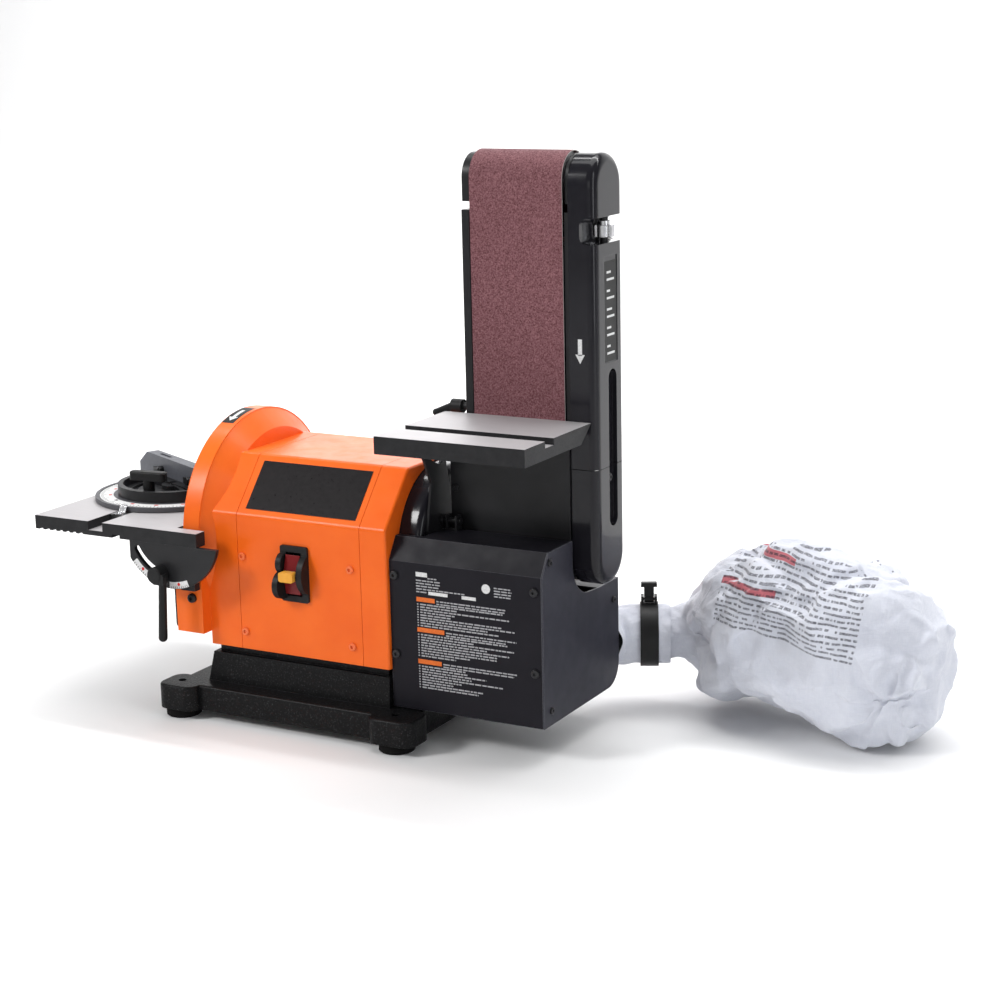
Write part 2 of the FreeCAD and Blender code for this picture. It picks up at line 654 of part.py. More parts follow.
# ---------------------------------------------------------------- belt drum cover box
def box_outline(inset=0.0):
    """Side view of the cover box as a closed wire in the plane x = 0.

    The front is tall; behind the drum the box steps down round the belt arm's notch.
    """
    front = BOX_FRONT + inset
    back = BOX_BACK - inset
    low = BOX_Z0 + inset
    top = BOX_TOP - inset
    rear_top = BOX_REAR_TOP - inset
    notch = NOTCH_R + inset
    corner = 25.0 - inset
    bend = 22.0 - inset * 0.6
    if rear_top < AXIS_Z - notch:
        rear_angle = math.radians(-90)
    else:
        rear_angle = -math.pi + math.asin((AXIS_Z - rear_top) / notch)
    rear_join = (notch * math.cos(rear_angle), AXIS_Z + notch * math.sin(rear_angle))
    middle_angle = (rear_angle - math.pi) / 2
    middle = (notch * math.cos(middle_angle), AXIS_Z + notch * math.sin(middle_angle))
    halfway = corner * math.sin(math.pi / 4)
    corner_mid = (back - corner + halfway, low + corner - halfway)
    outline = [(front, low), (back - corner, low), (back, low + corner), (back, rear_top)]
    if rear_top < AXIS_Z - notch:
        outline.append((20.0, rear_top))
    outline.append(rear_join)
    outline.append((-notch, AXIS_Z))
    outline.extend([(-notch, top), (front + 14.0, top), (front, top - bend)])
    arcs = {1: corner_mid, outline.index(rear_join): middle}
    curves = []
    for k, start in enumerate(outline):
        end = outline[(k + 1) % len(outline)]
        a, b = Vector(0, *start), Vector(0, *end)
        if k in arcs:
            curves.append(Part.Arc(a, Vector(0, *arcs[k]), b).toShape())
        else:
            curves.append(Part.LineSegment(a, b).toShape())
    return Part.Wire(curves)


def box_solid(x0, x1, inset=0.0):
    solid = Part.Face(box_outline(inset)).extrude(Vector(x1 - x0, 0, 0))
    solid.translate(Vector(x0, 0, 0))
    return solid


def make_dust_box(screws):
    """Bent sheet body: front, top, bottom, rear and left side, open for the drum."""
    x1 = BOX_X1 - SHEET
    body = box_solid(BOX_X0, x1).cut(box_solid(BOX_X0 + SHEET, x1 + 1, SHEET))
    body = body.cut(rod_x(BELL_R + 1.5, BOX_X0 - 1, 147.5))
    body = body.cut(box(150.0, x1 + 1, -NOTCH_R - 1.7, 19.0, 140.0, 230.0))
    body = body.cut(rod_y(25.5, BOX_BACK - 20, BOX_BACK + 5, PORT_X, PORT_Z))
    for piece in screws:
        body = body.cut(piece)
    return max(body.Solids, key=lambda solid: solid.Volume)


def make_box_side(screws):
    panel = box_solid(BOX_X1 - SHEET, BOX_X1)
    for piece in screws:
        panel = panel.cut(piece)
    return panel


def make_box_front_screws():
    screws = []
    for x in (124.0, 282.0):
        for z in (176.0, 94.0):
            screws.append(screw((x, BOX_FRONT, z), (0, 1, 0), head_r=4.5, shank=6.0))
    return screws


def make_box_side_screws():
    places = ((-87.0, 203.0), (53.0, 130.0), (-87.0, 53.0))
    return [screw((BOX_X1, y, z), (-1, 0, 0), head_r=3.6, head_h=2.0, shank_r=1.8, shank=6.0)
            for y, z in places]


def make_arm_lock_bracket():
    """U-shaped lock bracket with its bolt, on the box top beside the arm."""
    foot = box(153.0, 166.0, -48.0, -37.8, BOX_TOP, BOX_TOP + 2.0)
    ears = [box(x, x + 2.0, -48.0, -37.8, BOX_TOP, BOX_TOP + 15.0) for x in (153.0, 164.0)]
    bolt = rod_x(3.2, 149.0, 168.5, -42.5, BOX_TOP + 9.0)
    head = rod_x(5.5, 146.0, 150.0, -42.5, BOX_TOP + 9.0)
    return fuse([foot] + ears + [bolt, head])


# ---------------------------------------------------------------- dust port and bag
def make_dust_port():
    flange = rod_y(28.0, BOX_BACK - 8.0, BOX_BACK + 1.5, PORT_X, PORT_Z)
    pipe = rod_y(25.5, BOX_BACK - 12.0, BOX_BACK + 20.0, PORT_X, PORT_Z)
    body = fuse([flange.cut(box_solid(BOX_X0, BOX_X1)), pipe])
    return body.cut(rod_y(23.5, BOX_BACK - 16.0, BOX_BACK + 30.0, PORT_X, PORT_Z))


def sleeve_path(reach):
    """Centre line of the cloth sleeve, from the port to a distance past its bend."""
    turn_r = 36.0
    turn = math.atan2(CLAMP_DIR.x, CLAMP_DIR.y)
    start = Vector(PORT_X, BOX_BACK + 3.0, PORT_Z)
    corner = Vector(PORT_X, BOX_BACK + 7.0, PORT_Z)
    centre = corner + Vector(turn_r, 0, 0)
    mid = centre - Vector(turn_r * math.cos(turn / 2), -turn_r * math.sin(turn / 2), 0)
    out = centre - Vector(turn_r * math.cos(turn), -turn_r * math.sin(turn), 0)
    end = out + CLAMP_DIR * reach
    edges = [Part.LineSegment(start, corner).toShape(),
             Part.Arc(corner, mid, out).toShape(),
             Part.LineSegment(out, end).toShape()]
    return Part.Wire(edges)


SLEEVE_REACH = 38.0
CLAMP_REACH = 22.0
CLAMP_TURN = math.degrees(math.atan2(CLAMP_DIR.y, CLAMP_DIR.x))


def path_end(reach):
    return sleeve_path(reach).Vertexes[-1].Point


def make_bag_sleeve():
    wire = sleeve_path(SLEEVE_REACH)
    start = wire.Vertexes[0].Point
    tubes = []
    for radius in (SLEEVE_R, SLEEVE_R - 2.5):
        ring = Part.Wire(Part.makeCircle(radius, start, Vector(0, 1, 0)))
        tubes.append(wire.makePipeShell([ring], True, False))
    return tubes[0].cut(tubes[1])


def clamp_pivot():
    return path_end(CLAMP_REACH) + Vector(0, 0, SLEEVE_R + 6.5)


def placed_on_clamp(shape):
    shape.rotate(Vector(0, 0, 0), Vector(0, 0, 1), CLAMP_TURN)
    shape.translate(clamp_pivot())
    return shape


def make_bag_clamp():
    """Band round the sleeve with two lugs and the pin of its toggle lever."""
    half = 9.5
    start = path_end(CLAMP_REACH) - CLAMP_DIR * half
    band = Part.makeCylinder(SLEEVE_R + 2.6, 2 * half, start, CLAMP_DIR)
    band = band.cut(Part.makeCylinder(SLEEVE_R, 2 * half + 2, start - CLAMP_DIR, CLAMP_DIR))
    lugs = []
    for side in (-1, 1):
        lugs.append(placed_on_clamp(box(side * 7.0 - 1.4, side * 7.0 + 1.4, -6.0, 6.0, -5.5, 4.2)))
    pin = placed_on_clamp(rod_x(1.6, -7.0, 7.0, 0.0, 0.0))
    return fuse([band] + lugs + [pin])


def make_clamp_lever():
    hub = rod_x(3.6, -5.2, 5.2, 0.0, 0.0)
    blade = box(-5.2, 5.2, -1.5, 1.5, 0.0, 16.0)
    cap = box(-8.4, 8.4, -4.0, 4.0, 14.0, 18.5)
    cap = fillet(cap, 1.4, on_z(18.5))
    lever = fuse([hub, blade, cap]).cut(rod_x(1.66, -10.0, 10.0, 0.0, 0.0))
    return placed_on_clamp(lever)


def make_dust_bag():
    """Filled bag lying on the floor, as elliptical rings along its length."""
    neck = path_end(SLEEVE_REACH + 0.5)
    # centre x and y, half width, half height, height of the centre
    rings = [(neck.x, neck.y, 28.5, 28.5, PORT_Z), (337.0, 132.0, 31.0, 32.0, PORT_Z),
             (350.0, 138.0, 50.0, 55.0, 76.0), (374.0, 146.0, 76.0, 83.0, 84.5),
             (412.0, 144.0, 90.0, 96.0, 97.5), (447.0, 136.0, 95.0, 100.0, 101.5),
             (495.0, 125.0, 94.0, 96.0, 97.5), (545.0, 115.0, 88.0, 91.0, 92.5),
             (590.0, 106.0, 72.0, 77.0, 80.0), (618.0, 101.0, 46.0, 50.0, 82.0)]
    wires = []
    last = len(rings) - 1
    for k, (x, y, half_w, half_h, z) in enumerate(rings):
        before = rings[max(k - 1, 0)]
        after = rings[min(k + 1, last)]
        along = Vector(after[0] - before[0], after[1] - before[1], 0).normalize()
        side = Vector(-along.y, along.x, 0)
        centre = Vector(x, y, z)
        if half_h > half_w:
            curve = Part.Ellipse(centre + Vector(0, 0, half_h), centre + side * half_w, centre)
        else:
            curve = Part.Circle(centre, along, half_w)
        wires.append(Part.Wire(curve.toShape()))
    return Part.makeLoft(wires, True, False)


# ---------------------------------------------------------------- belt table
BT_PIVOT_Y = BELT_TABLE_REAR
BT_LOCK_R = 50.0
BT_LOCK_ANGLE = 28.0


def around_belt_table(radius, below):
    """A point (y, z) at an angle below the horizontal, in front of the belt table's axis."""
    angle = math.radians(below)
    return (BT_PIVOT_Y - radius * math.cos(angle), BELT_TABLE_TOP - radius * math.sin(angle))


def make_belt_table():
    z0 = BELT_TABLE_TOP - BELT_TABLE_T
    plate = box(BELT_TABLE_X0, BELT_TABLE_X1, BELT_TABLE_FRONT, BELT_TABLE_REAR, z0, BELT_TABLE_TOP)
    bevel = prism_x([(BELT_TABLE_REAR + 1, z0 - 1), (BELT_TABLE_REAR + 1, BELT_TABLE_TOP - 0.2),
                     (BELT_TABLE_REAR, BELT_TABLE_TOP - 1.0), (BELT_TABLE_REAR - 23, z0 - 1)],
                    BELT_TABLE_X0 - 1, BELT_TABLE_X1 + 1)
    body = plate.cut(bevel)
    slot_y = -116.75
    slot_half = 8.75
    slot = box(BELT_TABLE_X0 - 1, BELT_TABLE_X1 + 1, slot_y - slot_half, slot_y + slot_half,
               BELT_TABLE_TOP - 6.5, BELT_TABLE_TOP + 1)
    return body.cut(slot)


def make_belt_table_trunnion():
    """Small plate below the left edge of the belt table, round the lock knob's bolt."""
    z0 = BELT_TABLE_TOP - BELT_TABLE_T
    x0, x1 = 147.0, 149.8
    points = [(-56.0, z0), (-100.0, z0), (-94.0, z0 - 12), around_belt_table(62.5, 36.0),
              around_belt_table(34.0, 36.0)]
    plate = prism_x(points, x0, x1)
    bolt_y, bolt_z = around_belt_table(BT_LOCK_R, BT_LOCK_ANGLE)
    return plate.cut(rod_x(3.0, x0 - 1, x1 + 1, bolt_y, bolt_z))


def make_belt_table_bracket():
    """Fixed support plate between the end bell and the belt table."""
    x0, x1 = BELL_X1, 145.6
    tip = [around_belt_table(BT_LOCK_R + 11, 20), around_belt_table(BT_LOCK_R + 11, 45),
           (-60.0, 262.0), (-70.0, 215.0), (-45.0, 150.0), (-20.0, 160.0), (-20.0, 232.0),
           around_belt_table(BT_LOCK_R - 12, 84), around_belt_table(BT_LOCK_R - 14, 45),
           around_belt_table(BT_LOCK_R - 12, 26)]
    plate = prism_x(tip, x0, x1)
    plate = plate.cut(rod_x(19.0, x0 - 1, x1 + 1))
    y_axis, z_axis = BT_PIVOT_Y, BELT_TABLE_TOP
    width = 6.6
    band = rod_x(BT_LOCK_R + width / 2, x0 - 1, x1 + 1, y_axis, z_axis)
    band = band.cut(rod_x(BT_LOCK_R - width / 2, x0 - 2, x1 + 2, y_axis, z_axis))
    fan = [(y_axis, z_axis)]
    for below in (BT_LOCK_ANGLE, 45, 60, BT_LOCK_ANGLE + 46):
        fan.append(around_belt_table(130, below))
    band = band.common(prism_x(fan, x0 - 1, x1 + 1))
    ends = []
    for below in (BT_LOCK_ANGLE, BT_LOCK_ANGLE + 46):
        bolt_y, bolt_z = around_belt_table(BT_LOCK_R, below)
        ends.append(rod_x(width / 2, x0 - 1, x1 + 1, bolt_y, bolt_z))
    return plate.cut(fuse([band] + ends))


def make_belt_table_knob():
    """Lock knob and stud that clamp the trunnion to the support plate."""
    bolt_y, bolt_z = around_belt_table(BT_LOCK_R, BT_LOCK_ANGLE)
    stud = rod_x(3.0 - RUN_GAP, 138.0, 149.8, bolt_y, bolt_z)
    head = rod_x(7.5, 131.0, 142.4, bolt_y, bolt_z)
    for k in range(6):
        angle = math.radians(60 * k)
        flute_y = bolt_y + 8.2 * math.cos(angle)
        flute_z = bolt_z + 8.2 * math.sin(angle)
        head = head.cut(rod_x(2.0, 130, 143, flute_y, flute_z))
    return fuse([head, stud])


# ---------------------------------------------------------------- belt arm
def make_arm_frame():
    """Cast spine of the belt arm: left plate, pivot collar, beam and right rib."""
    left = fuse([rod_x(26.0, 167.0, 176.0), box(167.0, 176.0, -25.0, 26.5, AXIS_Z, 533.0)])
    left = fillet(left, 1.5, lambda e: on_x(167.0)(e))
    collar = rod_x(26.0, 152.0, 167.0)
    right = fuse([rod_x(25.5, 281.0, 285.4), box(281.0, 285.4, -25.5, 25.5, AXIS_Z, 533.0)])
    beam = box(176.0, 281.0, -16.0, 16.0, 250.0, 500.0)
    core = box(184.0, 274.0, -11.0, 11.0, 256.0, 452.0)
    body = fuse([left, collar, right, beam.cut(core)])
    body = body.cut(rod_x(19.0 + RUN_GAP, 151.0, 168.0))
    body = body.cut(rod_x(12.0, 167.0, 177.0))
    pocket = box(219.8, 240.2, -8.2, 8.2, 455.0, 501.0)
    body = body.cut(pocket)
    return body.cut(rod_x(4.0 + RUN_GAP, 160.0, 185.0, -17.0, 335.0))


def make_platen():
    plate = box(180.0, 278.0, -25.7, -22.7, 240.0, 522.0)
    feet = [box(196.0, 262.0, -22.7, -16.0, z, z + 16.0) for z in (262.0, 372.0, 482.0)]
    return fuse([plate] + feet)


def make_sanding_belt():
    outer = stadium_x(BELT_R, BELT_X0, BELT_X1, AXIS_Z, IDLER_Z)
    return outer.cut(stadium_x(BELT_R - BELT_T, BELT_X0 - 1, BELT_X1 + 1, AXIS_Z, IDLER_Z))


def make_drive_drum():
    rim = ring_x(ROLLER_R, ROLLER_R - 5.0, 179.5, 278.5)
    hub = ring_x(15.0, SHAFT_R, 182.0, 276.0)
    webs = [ring_x(ROLLER_R - 4.0, 14.0, x, x + 5.0) for x in (184.0, 226.0, 268.0)]
    return fuse([rim, hub] + webs)


def make_idler_roller():
    rim = ring_x(ROLLER_R, ROLLER_R - 4.5, 182.5, 275.5, 0, IDLER_Z)
    hub = ring_x(11.0, 5.0 + RUN_GAP, 182.5, 275.5, 0, IDLER_Z)
    webs = [ring_x(ROLLER_R - 4.0, 10.0, x, x + 4.0, 0, IDLER_Z) for x in (183.5, 227.0, 270.5)]
    return fuse([rim, hub] + webs)


def make_idler_yoke():
    cross = box(177.0, 280.5, -9.0, 9.0, 508.0, 520.0)
    arms = [box(x, x + 4.5, -9.0, 9.0, 508.0, IDLER_Z + 10.0) for x in (177.0, 276.0)]
    stem = box(220.0, 240.0, -8.0, 8.0, 472.0, 508.0)
    cheeks = []
    for x0, x1 in ((167.5, 177.0), (280.5, 285.0)):
        cheek = fuse([rod_x(24.0, x0, x1, 0, IDLER_Z), box(x0, x1, -24.0, 24.0, 541.0, IDLER_Z)])
        cheeks.append(fillet(cheek, 1.5, lambda e: on_x(x0)(e)))
    body = fuse([cross, stem] + arms + cheeks)
    return body.cut(rod_x(5.0, 160.0, 290.0, 0, IDLER_Z))


def make_idler_axle():
    return rod_x(5.0, 165.5, 283.0, 0, IDLER_Z)


def make_tension_spring():
    """Compression spring under the yoke's stem."""
    wire_r = 1.0
    coil_r = 5.5
    height = 13.4
    helix = Part.makeLongHelix(3.0, height - 2 * wire_r - 0.2, coil_r)
    section = Part.Wire(Part.makeCircle(wire_r, Vector(coil_r, 0, 0), Vector(0, 1, 0)))
    coil = Part.Wire(helix).makePipeShell([section], True, True)
    coil.translate(Vector(230.0, 0, 455.2 + wire_r + 0.1))
    return coil


def make_tension_lever():
    shaft = rod_x(4.0, 155.0, 184.0, -17.0, 335.0)
    block = rod_x(7.0, 147.5, 160.0, -17.0, 335.0)
    start = Vector(150.0, -17.0, 335.0)
    end = Vector(134.0, -28.0, 329.0)
    handle = Part.makeCone(4.6, 3.4, (end - start).Length, start, end - start)
    tip = Part.makeSphere(3.6, end)
    return fuse([shaft, block, handle, tip])


def cover_solid(z0, z1, inset=0.0):
    """Part of the arm's tall right-hand cover between two heights."""
    outer_x = COVER_X1 - inset
    inner_x = COVER_X0 - (1 if inset else 0)
    body = stadium_x(COVER_R - inset, inner_x, outer_x, COVER_LOW_Z, COVER_TOP_Z, COVER_Y)
    body = fillet(body, 9.0 - inset, lambda e: on_x(outer_x)(e))
    return body.common(box(COVER_X0 - 5, COVER_X1 + 5, -60, 60, z0, z1))


NOTCH_Z0, NOTCH_Z1 = 502.5, 528.0
KNOB_X, KNOB_Y = 304.0, 14.0


def notch_tool(grow=0.0):
    """Finger notch for the tracking knob, open to the side, front and back."""
    z0, z1, r = NOTCH_Z0 - grow, NOTCH_Z1 + grow, 8.0 + grow
    x0 = 298.0 - grow
    slot = box(x0 + r, 330, -60, 60, z0, z1)
    stem = box(x0, x0 + r, -60, 60, z0 + r, z1 - r)
    ends = [rod_y(r, -60, 60, x0 + r, z) for z in (z0 + r, z1 - r)]
    knob_room = rod_z(12.5 + grow, z0, z1, KNOB_X, KNOB_Y)
    return fuse([slot, stem, knob_room] + ends)


def groove_tool(grow=0.0):
    """Long sunken groove on the outer face, running across the cover's seam."""
    return stadium_x(9.0 + grow, COVER_X1 - 5.0 - grow, COVER_X1 + 5, 230.0, 370.0, 8.0)


def make_cover(z0, z1):
    wall = 2.6
    body = cover_solid(z0, z1).cut(groove_tool()).cut(notch_tool())
    inner = cover_solid(z0 - 1, z1 + 1, wall).cut(groove_tool(wall)).cut(notch_tool(wall))
    return body.cut(inner)


def make_side_cover_upper():
    body = make_cover(COVER_SEAM + 0.25, 600.0)
    body = body.cut(rod_z(4.0, NOTCH_Z0 - 5, NOTCH_Z1 + 5, KNOB_X, KNOB_Y))
    return body.cut(box(COVER_X1 - 0.7, COVER_X1 + 1, -8.0, 20.0, 386.0, 490.0))


def make_side_cover_lower(cover_screw):
    return make_cover(150.0, COVER_SEAM - 0.25).cut(cover_screw)


def make_cover_screw():
    return screw((COVER_X1 - 5.0, 8.0, 270.0), (-1, 0, 0),
                 head_r=4.0, head_h=2.2, shank_r=2.0, shank=4.0)


def make_tracking_knob():
    """Fluted thumb knob that turns on the tracking stud."""
    z0, z1 = 507.0, 518.5
    head = rod_z(10.4, z0, z1, KNOB_X, KNOB_Y)
    for k in range(6):
        angle = math.radians(60 * k + 12)
        flute_x = KNOB_X + 11.4 * math.cos(angle)
        flute_y = KNOB_Y + 11.4 * math.sin(angle)
        head = head.cut(rod_z(3.0, z0 - 1, z1 + 1, flute_x, flute_y))
    cap = rod_z(6.5, z1, z1 + 4.0, KNOB_X, KNOB_Y)
    return fuse([head, cap]).cut(rod_z(4.0 + RUN_GAP, z0 - 1, z1 + 5, KNOB_X, KNOB_Y))


def make_tracking_stud():
    """Threaded stud fixed in the cover, carrying the tracking knob."""
    return rod_z(4.0, NOTCH_Z0 - 2.4, NOTCH_Z1 + 2.4, KNOB_X, KNOB_Y)


def make_guard_plate(guard_screw):
    """Sheet guard over the lower, unused run of the belt."""
    sheet = box(150.4, 285.4, -30.2, -28.8, 210.0, 316.0)
    flanges = [box(167.5, 175.5, -28.8, -25.0, 232.0, 300.0), box(281.5, 285.4, -28.8, -25.5, 232.0, 300.0)]
    return fuse([sheet] + flanges).cut(guard_screw)


def make_guard_screw():
    return screw((156.0, -30.2, 253.0), (0, 1, 0), head_r=3.6, head_h=2.0, shank_r=1.8, shank=3.0)


# ---------------------------------------------------------------- rotor
def make_rotor_shaft():
    return fuse([rod_x(SHAFT_R, -115.2, 279.2), rod_x(11.0, -45.0, 100.0)])


def make_rotor_core():
    core = ring_x(42.5, 11.0, -33.0, 53.0)
    ends = [ring_x(40.0, 30.0, -39.0, -33.0), ring_x(40.0, 30.0, 53.0, 59.0)]
    return fuse([core] + ends)


def make_cooling_fan():
    hub = ring_x(17.0, 11.0, 68.0, 88.0)
    plate = ring_x(58.0, 15.0, 68.0, 70.5)
    blades = []
    for k in range(9):
        blade = box(70.0, 86.0, 20.0, 56.0, AXIS_Z - 1.1, AXIS_Z + 1.1)
        blades.append(turned(blade, (0, 0, AXIS_Z), (1, 0, 0), 40 * k))
    return fuse([hub, plate] + blades)


# ---------------------------------------------------------------- build
def main():
    os.makedirs("parts", exist_ok=True)
    base = make_base()
    save("base", base)
    save("rubber_feet", *make_feet())
    save("cord_inlet", make_cord_inlet(base))

    panel = make_label_panel()
    screws = housing_screws()
    save("name_panel", panel)
    save("housing_screws", *screws)
    save("housing_left", make_housing_left().cut(Part.makeCompound(make_disc_cover_bolts())))
    save("housing_center", make_housing_center(panel, screws, make_switch_hole()))
    save("housing_right", make_housing_right())
    save("end_bell", make_end_bell())
    save("drive_end_plate", make_drive_end_plate())
    save("motor_bearings", *make_bearings())
    save("motor_stator", make_stator(), *make_windings())
    save("start_capacitor", make_capacitor())

    save("switch_body", make_switch_body())
    save("switch_rocker", make_switch_rocker())
    save("safety_key", make_safety_key())

    save("lower_disc_cover", make_lower_disc_cover())
    save("guard_bolts", *(make_disc_cover_bolts() + [make_rear_lock_nut()]))
    save("disc_table_brackets", *both_sides(make_table_bracket()))
    save("disc_table_top", make_disc_table())
    save("disc_table_trunnions", *both_sides(make_table_trunnion()))
    save("disc_lock_lever", make_disc_lock_lever())
    save("disc_plate", make_disc_plate())
    save("sanding_disc", make_sanding_disc())

    save("miter_bar", make_miter_bar())
    save("miter_scale", make_miter_scale())
    save("miter_head", make_miter_head())
    save("miter_fence", make_miter_fence())
    save("fence_screws", *make_fence_screws())
    save("miter_knob", make_miter_knob())

    front_screws = make_box_front_screws()
    side_screws = make_box_side_screws()
    save("dust_box", make_dust_box(front_screws + side_screws))
    save("dust_box_side", make_box_side(side_screws))
    save("dust_box_screws", *(front_screws + side_screws))
    save("arm_lock_bracket", make_arm_lock_bracket())
    save("dust_port", make_dust_port())
    save("bag_sleeve", make_bag_sleeve())
    save("bag_clamp", make_bag_clamp())
    save("bag_clamp_lever", make_clamp_lever())
    save("dust_bag", make_dust_bag())

    save("belt_table_top", make_belt_table())
    save("belt_table_trunnion", make_belt_table_trunnion())
    save("belt_table_bracket", make_belt_table_bracket())
    save("belt_table_knob", make_belt_table_knob())

    save("arm_frame", make_arm_frame())
    save("platen", make_platen())
    save("sanding_belt", make_sanding_belt())
    save("side_cover_upper", make_side_cover_upper())
    cover_screw = make_cover_screw()
    guard_screw = make_guard_screw()
    save("side_cover_lower", make_side_cover_lower(cover_screw))
    save("tracking_knob", make_tracking_knob())
    save("tension_lever", make_tension_lever())
    save("idler_yoke", make_idler_yoke())
    save("idler_axle", make_idler_axle())
    save("tension_spring", make_tension_spring())
    save("idler_roller", make_idler_roller())
    save("guard_plate", make_guard_plate(guard_screw))
    save("arm_fasteners", cover_screw, make_tracking_stud(), guard_screw)

    save("rotor_shaft", make_rotor_shaft())
    save("rotor_core", make_rotor_core())
    save("cooling_fan", make_cooling_fan())
    save("drive_drum", make_drive_drum())


main()
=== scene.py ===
import json
import math
import random

import bmesh
import bpy
from mathutils import Matrix, Vector, noise


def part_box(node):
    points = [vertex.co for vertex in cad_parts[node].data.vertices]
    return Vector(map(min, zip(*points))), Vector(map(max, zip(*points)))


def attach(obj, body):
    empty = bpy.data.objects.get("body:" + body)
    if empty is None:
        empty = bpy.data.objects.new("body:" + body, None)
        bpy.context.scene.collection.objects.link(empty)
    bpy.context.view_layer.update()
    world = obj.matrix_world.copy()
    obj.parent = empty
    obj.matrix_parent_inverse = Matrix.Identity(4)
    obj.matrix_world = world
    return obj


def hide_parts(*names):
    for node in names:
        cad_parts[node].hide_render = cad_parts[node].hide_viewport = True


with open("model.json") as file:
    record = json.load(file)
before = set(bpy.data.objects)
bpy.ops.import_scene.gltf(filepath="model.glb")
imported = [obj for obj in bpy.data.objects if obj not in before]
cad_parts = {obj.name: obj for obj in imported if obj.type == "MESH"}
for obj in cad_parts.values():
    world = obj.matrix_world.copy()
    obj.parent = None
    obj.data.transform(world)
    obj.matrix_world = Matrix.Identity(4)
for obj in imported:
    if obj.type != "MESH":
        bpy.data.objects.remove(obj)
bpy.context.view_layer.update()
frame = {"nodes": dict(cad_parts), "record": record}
NODES = frame["nodes"]
JOINTS = {joint["name"]: joint for joint in frame["record"]["behaviour"]["joints"]}

MM = 0.001
DECAL_LIFT = 0.15 * MM     # how far a printed film stands off its surface
FILM_THICK = 0.12 * MM
SPECULAR_LEVEL = 0.2       # for paints and plastics that name no other

CAMERA_AT = Vector((1.20803, -1.82920, 0.72829))
CAMERA_AZIMUTH = math.radians(29.10)
CAMERA_ELEVATION = math.radians(13.21)
CAMERA_ROLL = math.radians(-1.277)
CAMERA_LENS = 76.06


# ---------------------------------------------------------------- frame helpers
def low(node):
    return Vector(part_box(node)[0])


def high(node):
    return Vector(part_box(node)[1])


def centre(node):
    return (low(node) + high(node)) / 2


SHAFT = Vector(JOINTS["motor_spin"]["pos_m"])
DISC_TILT = Vector(JOINTS["disc_table_tilt"]["pos_m"])


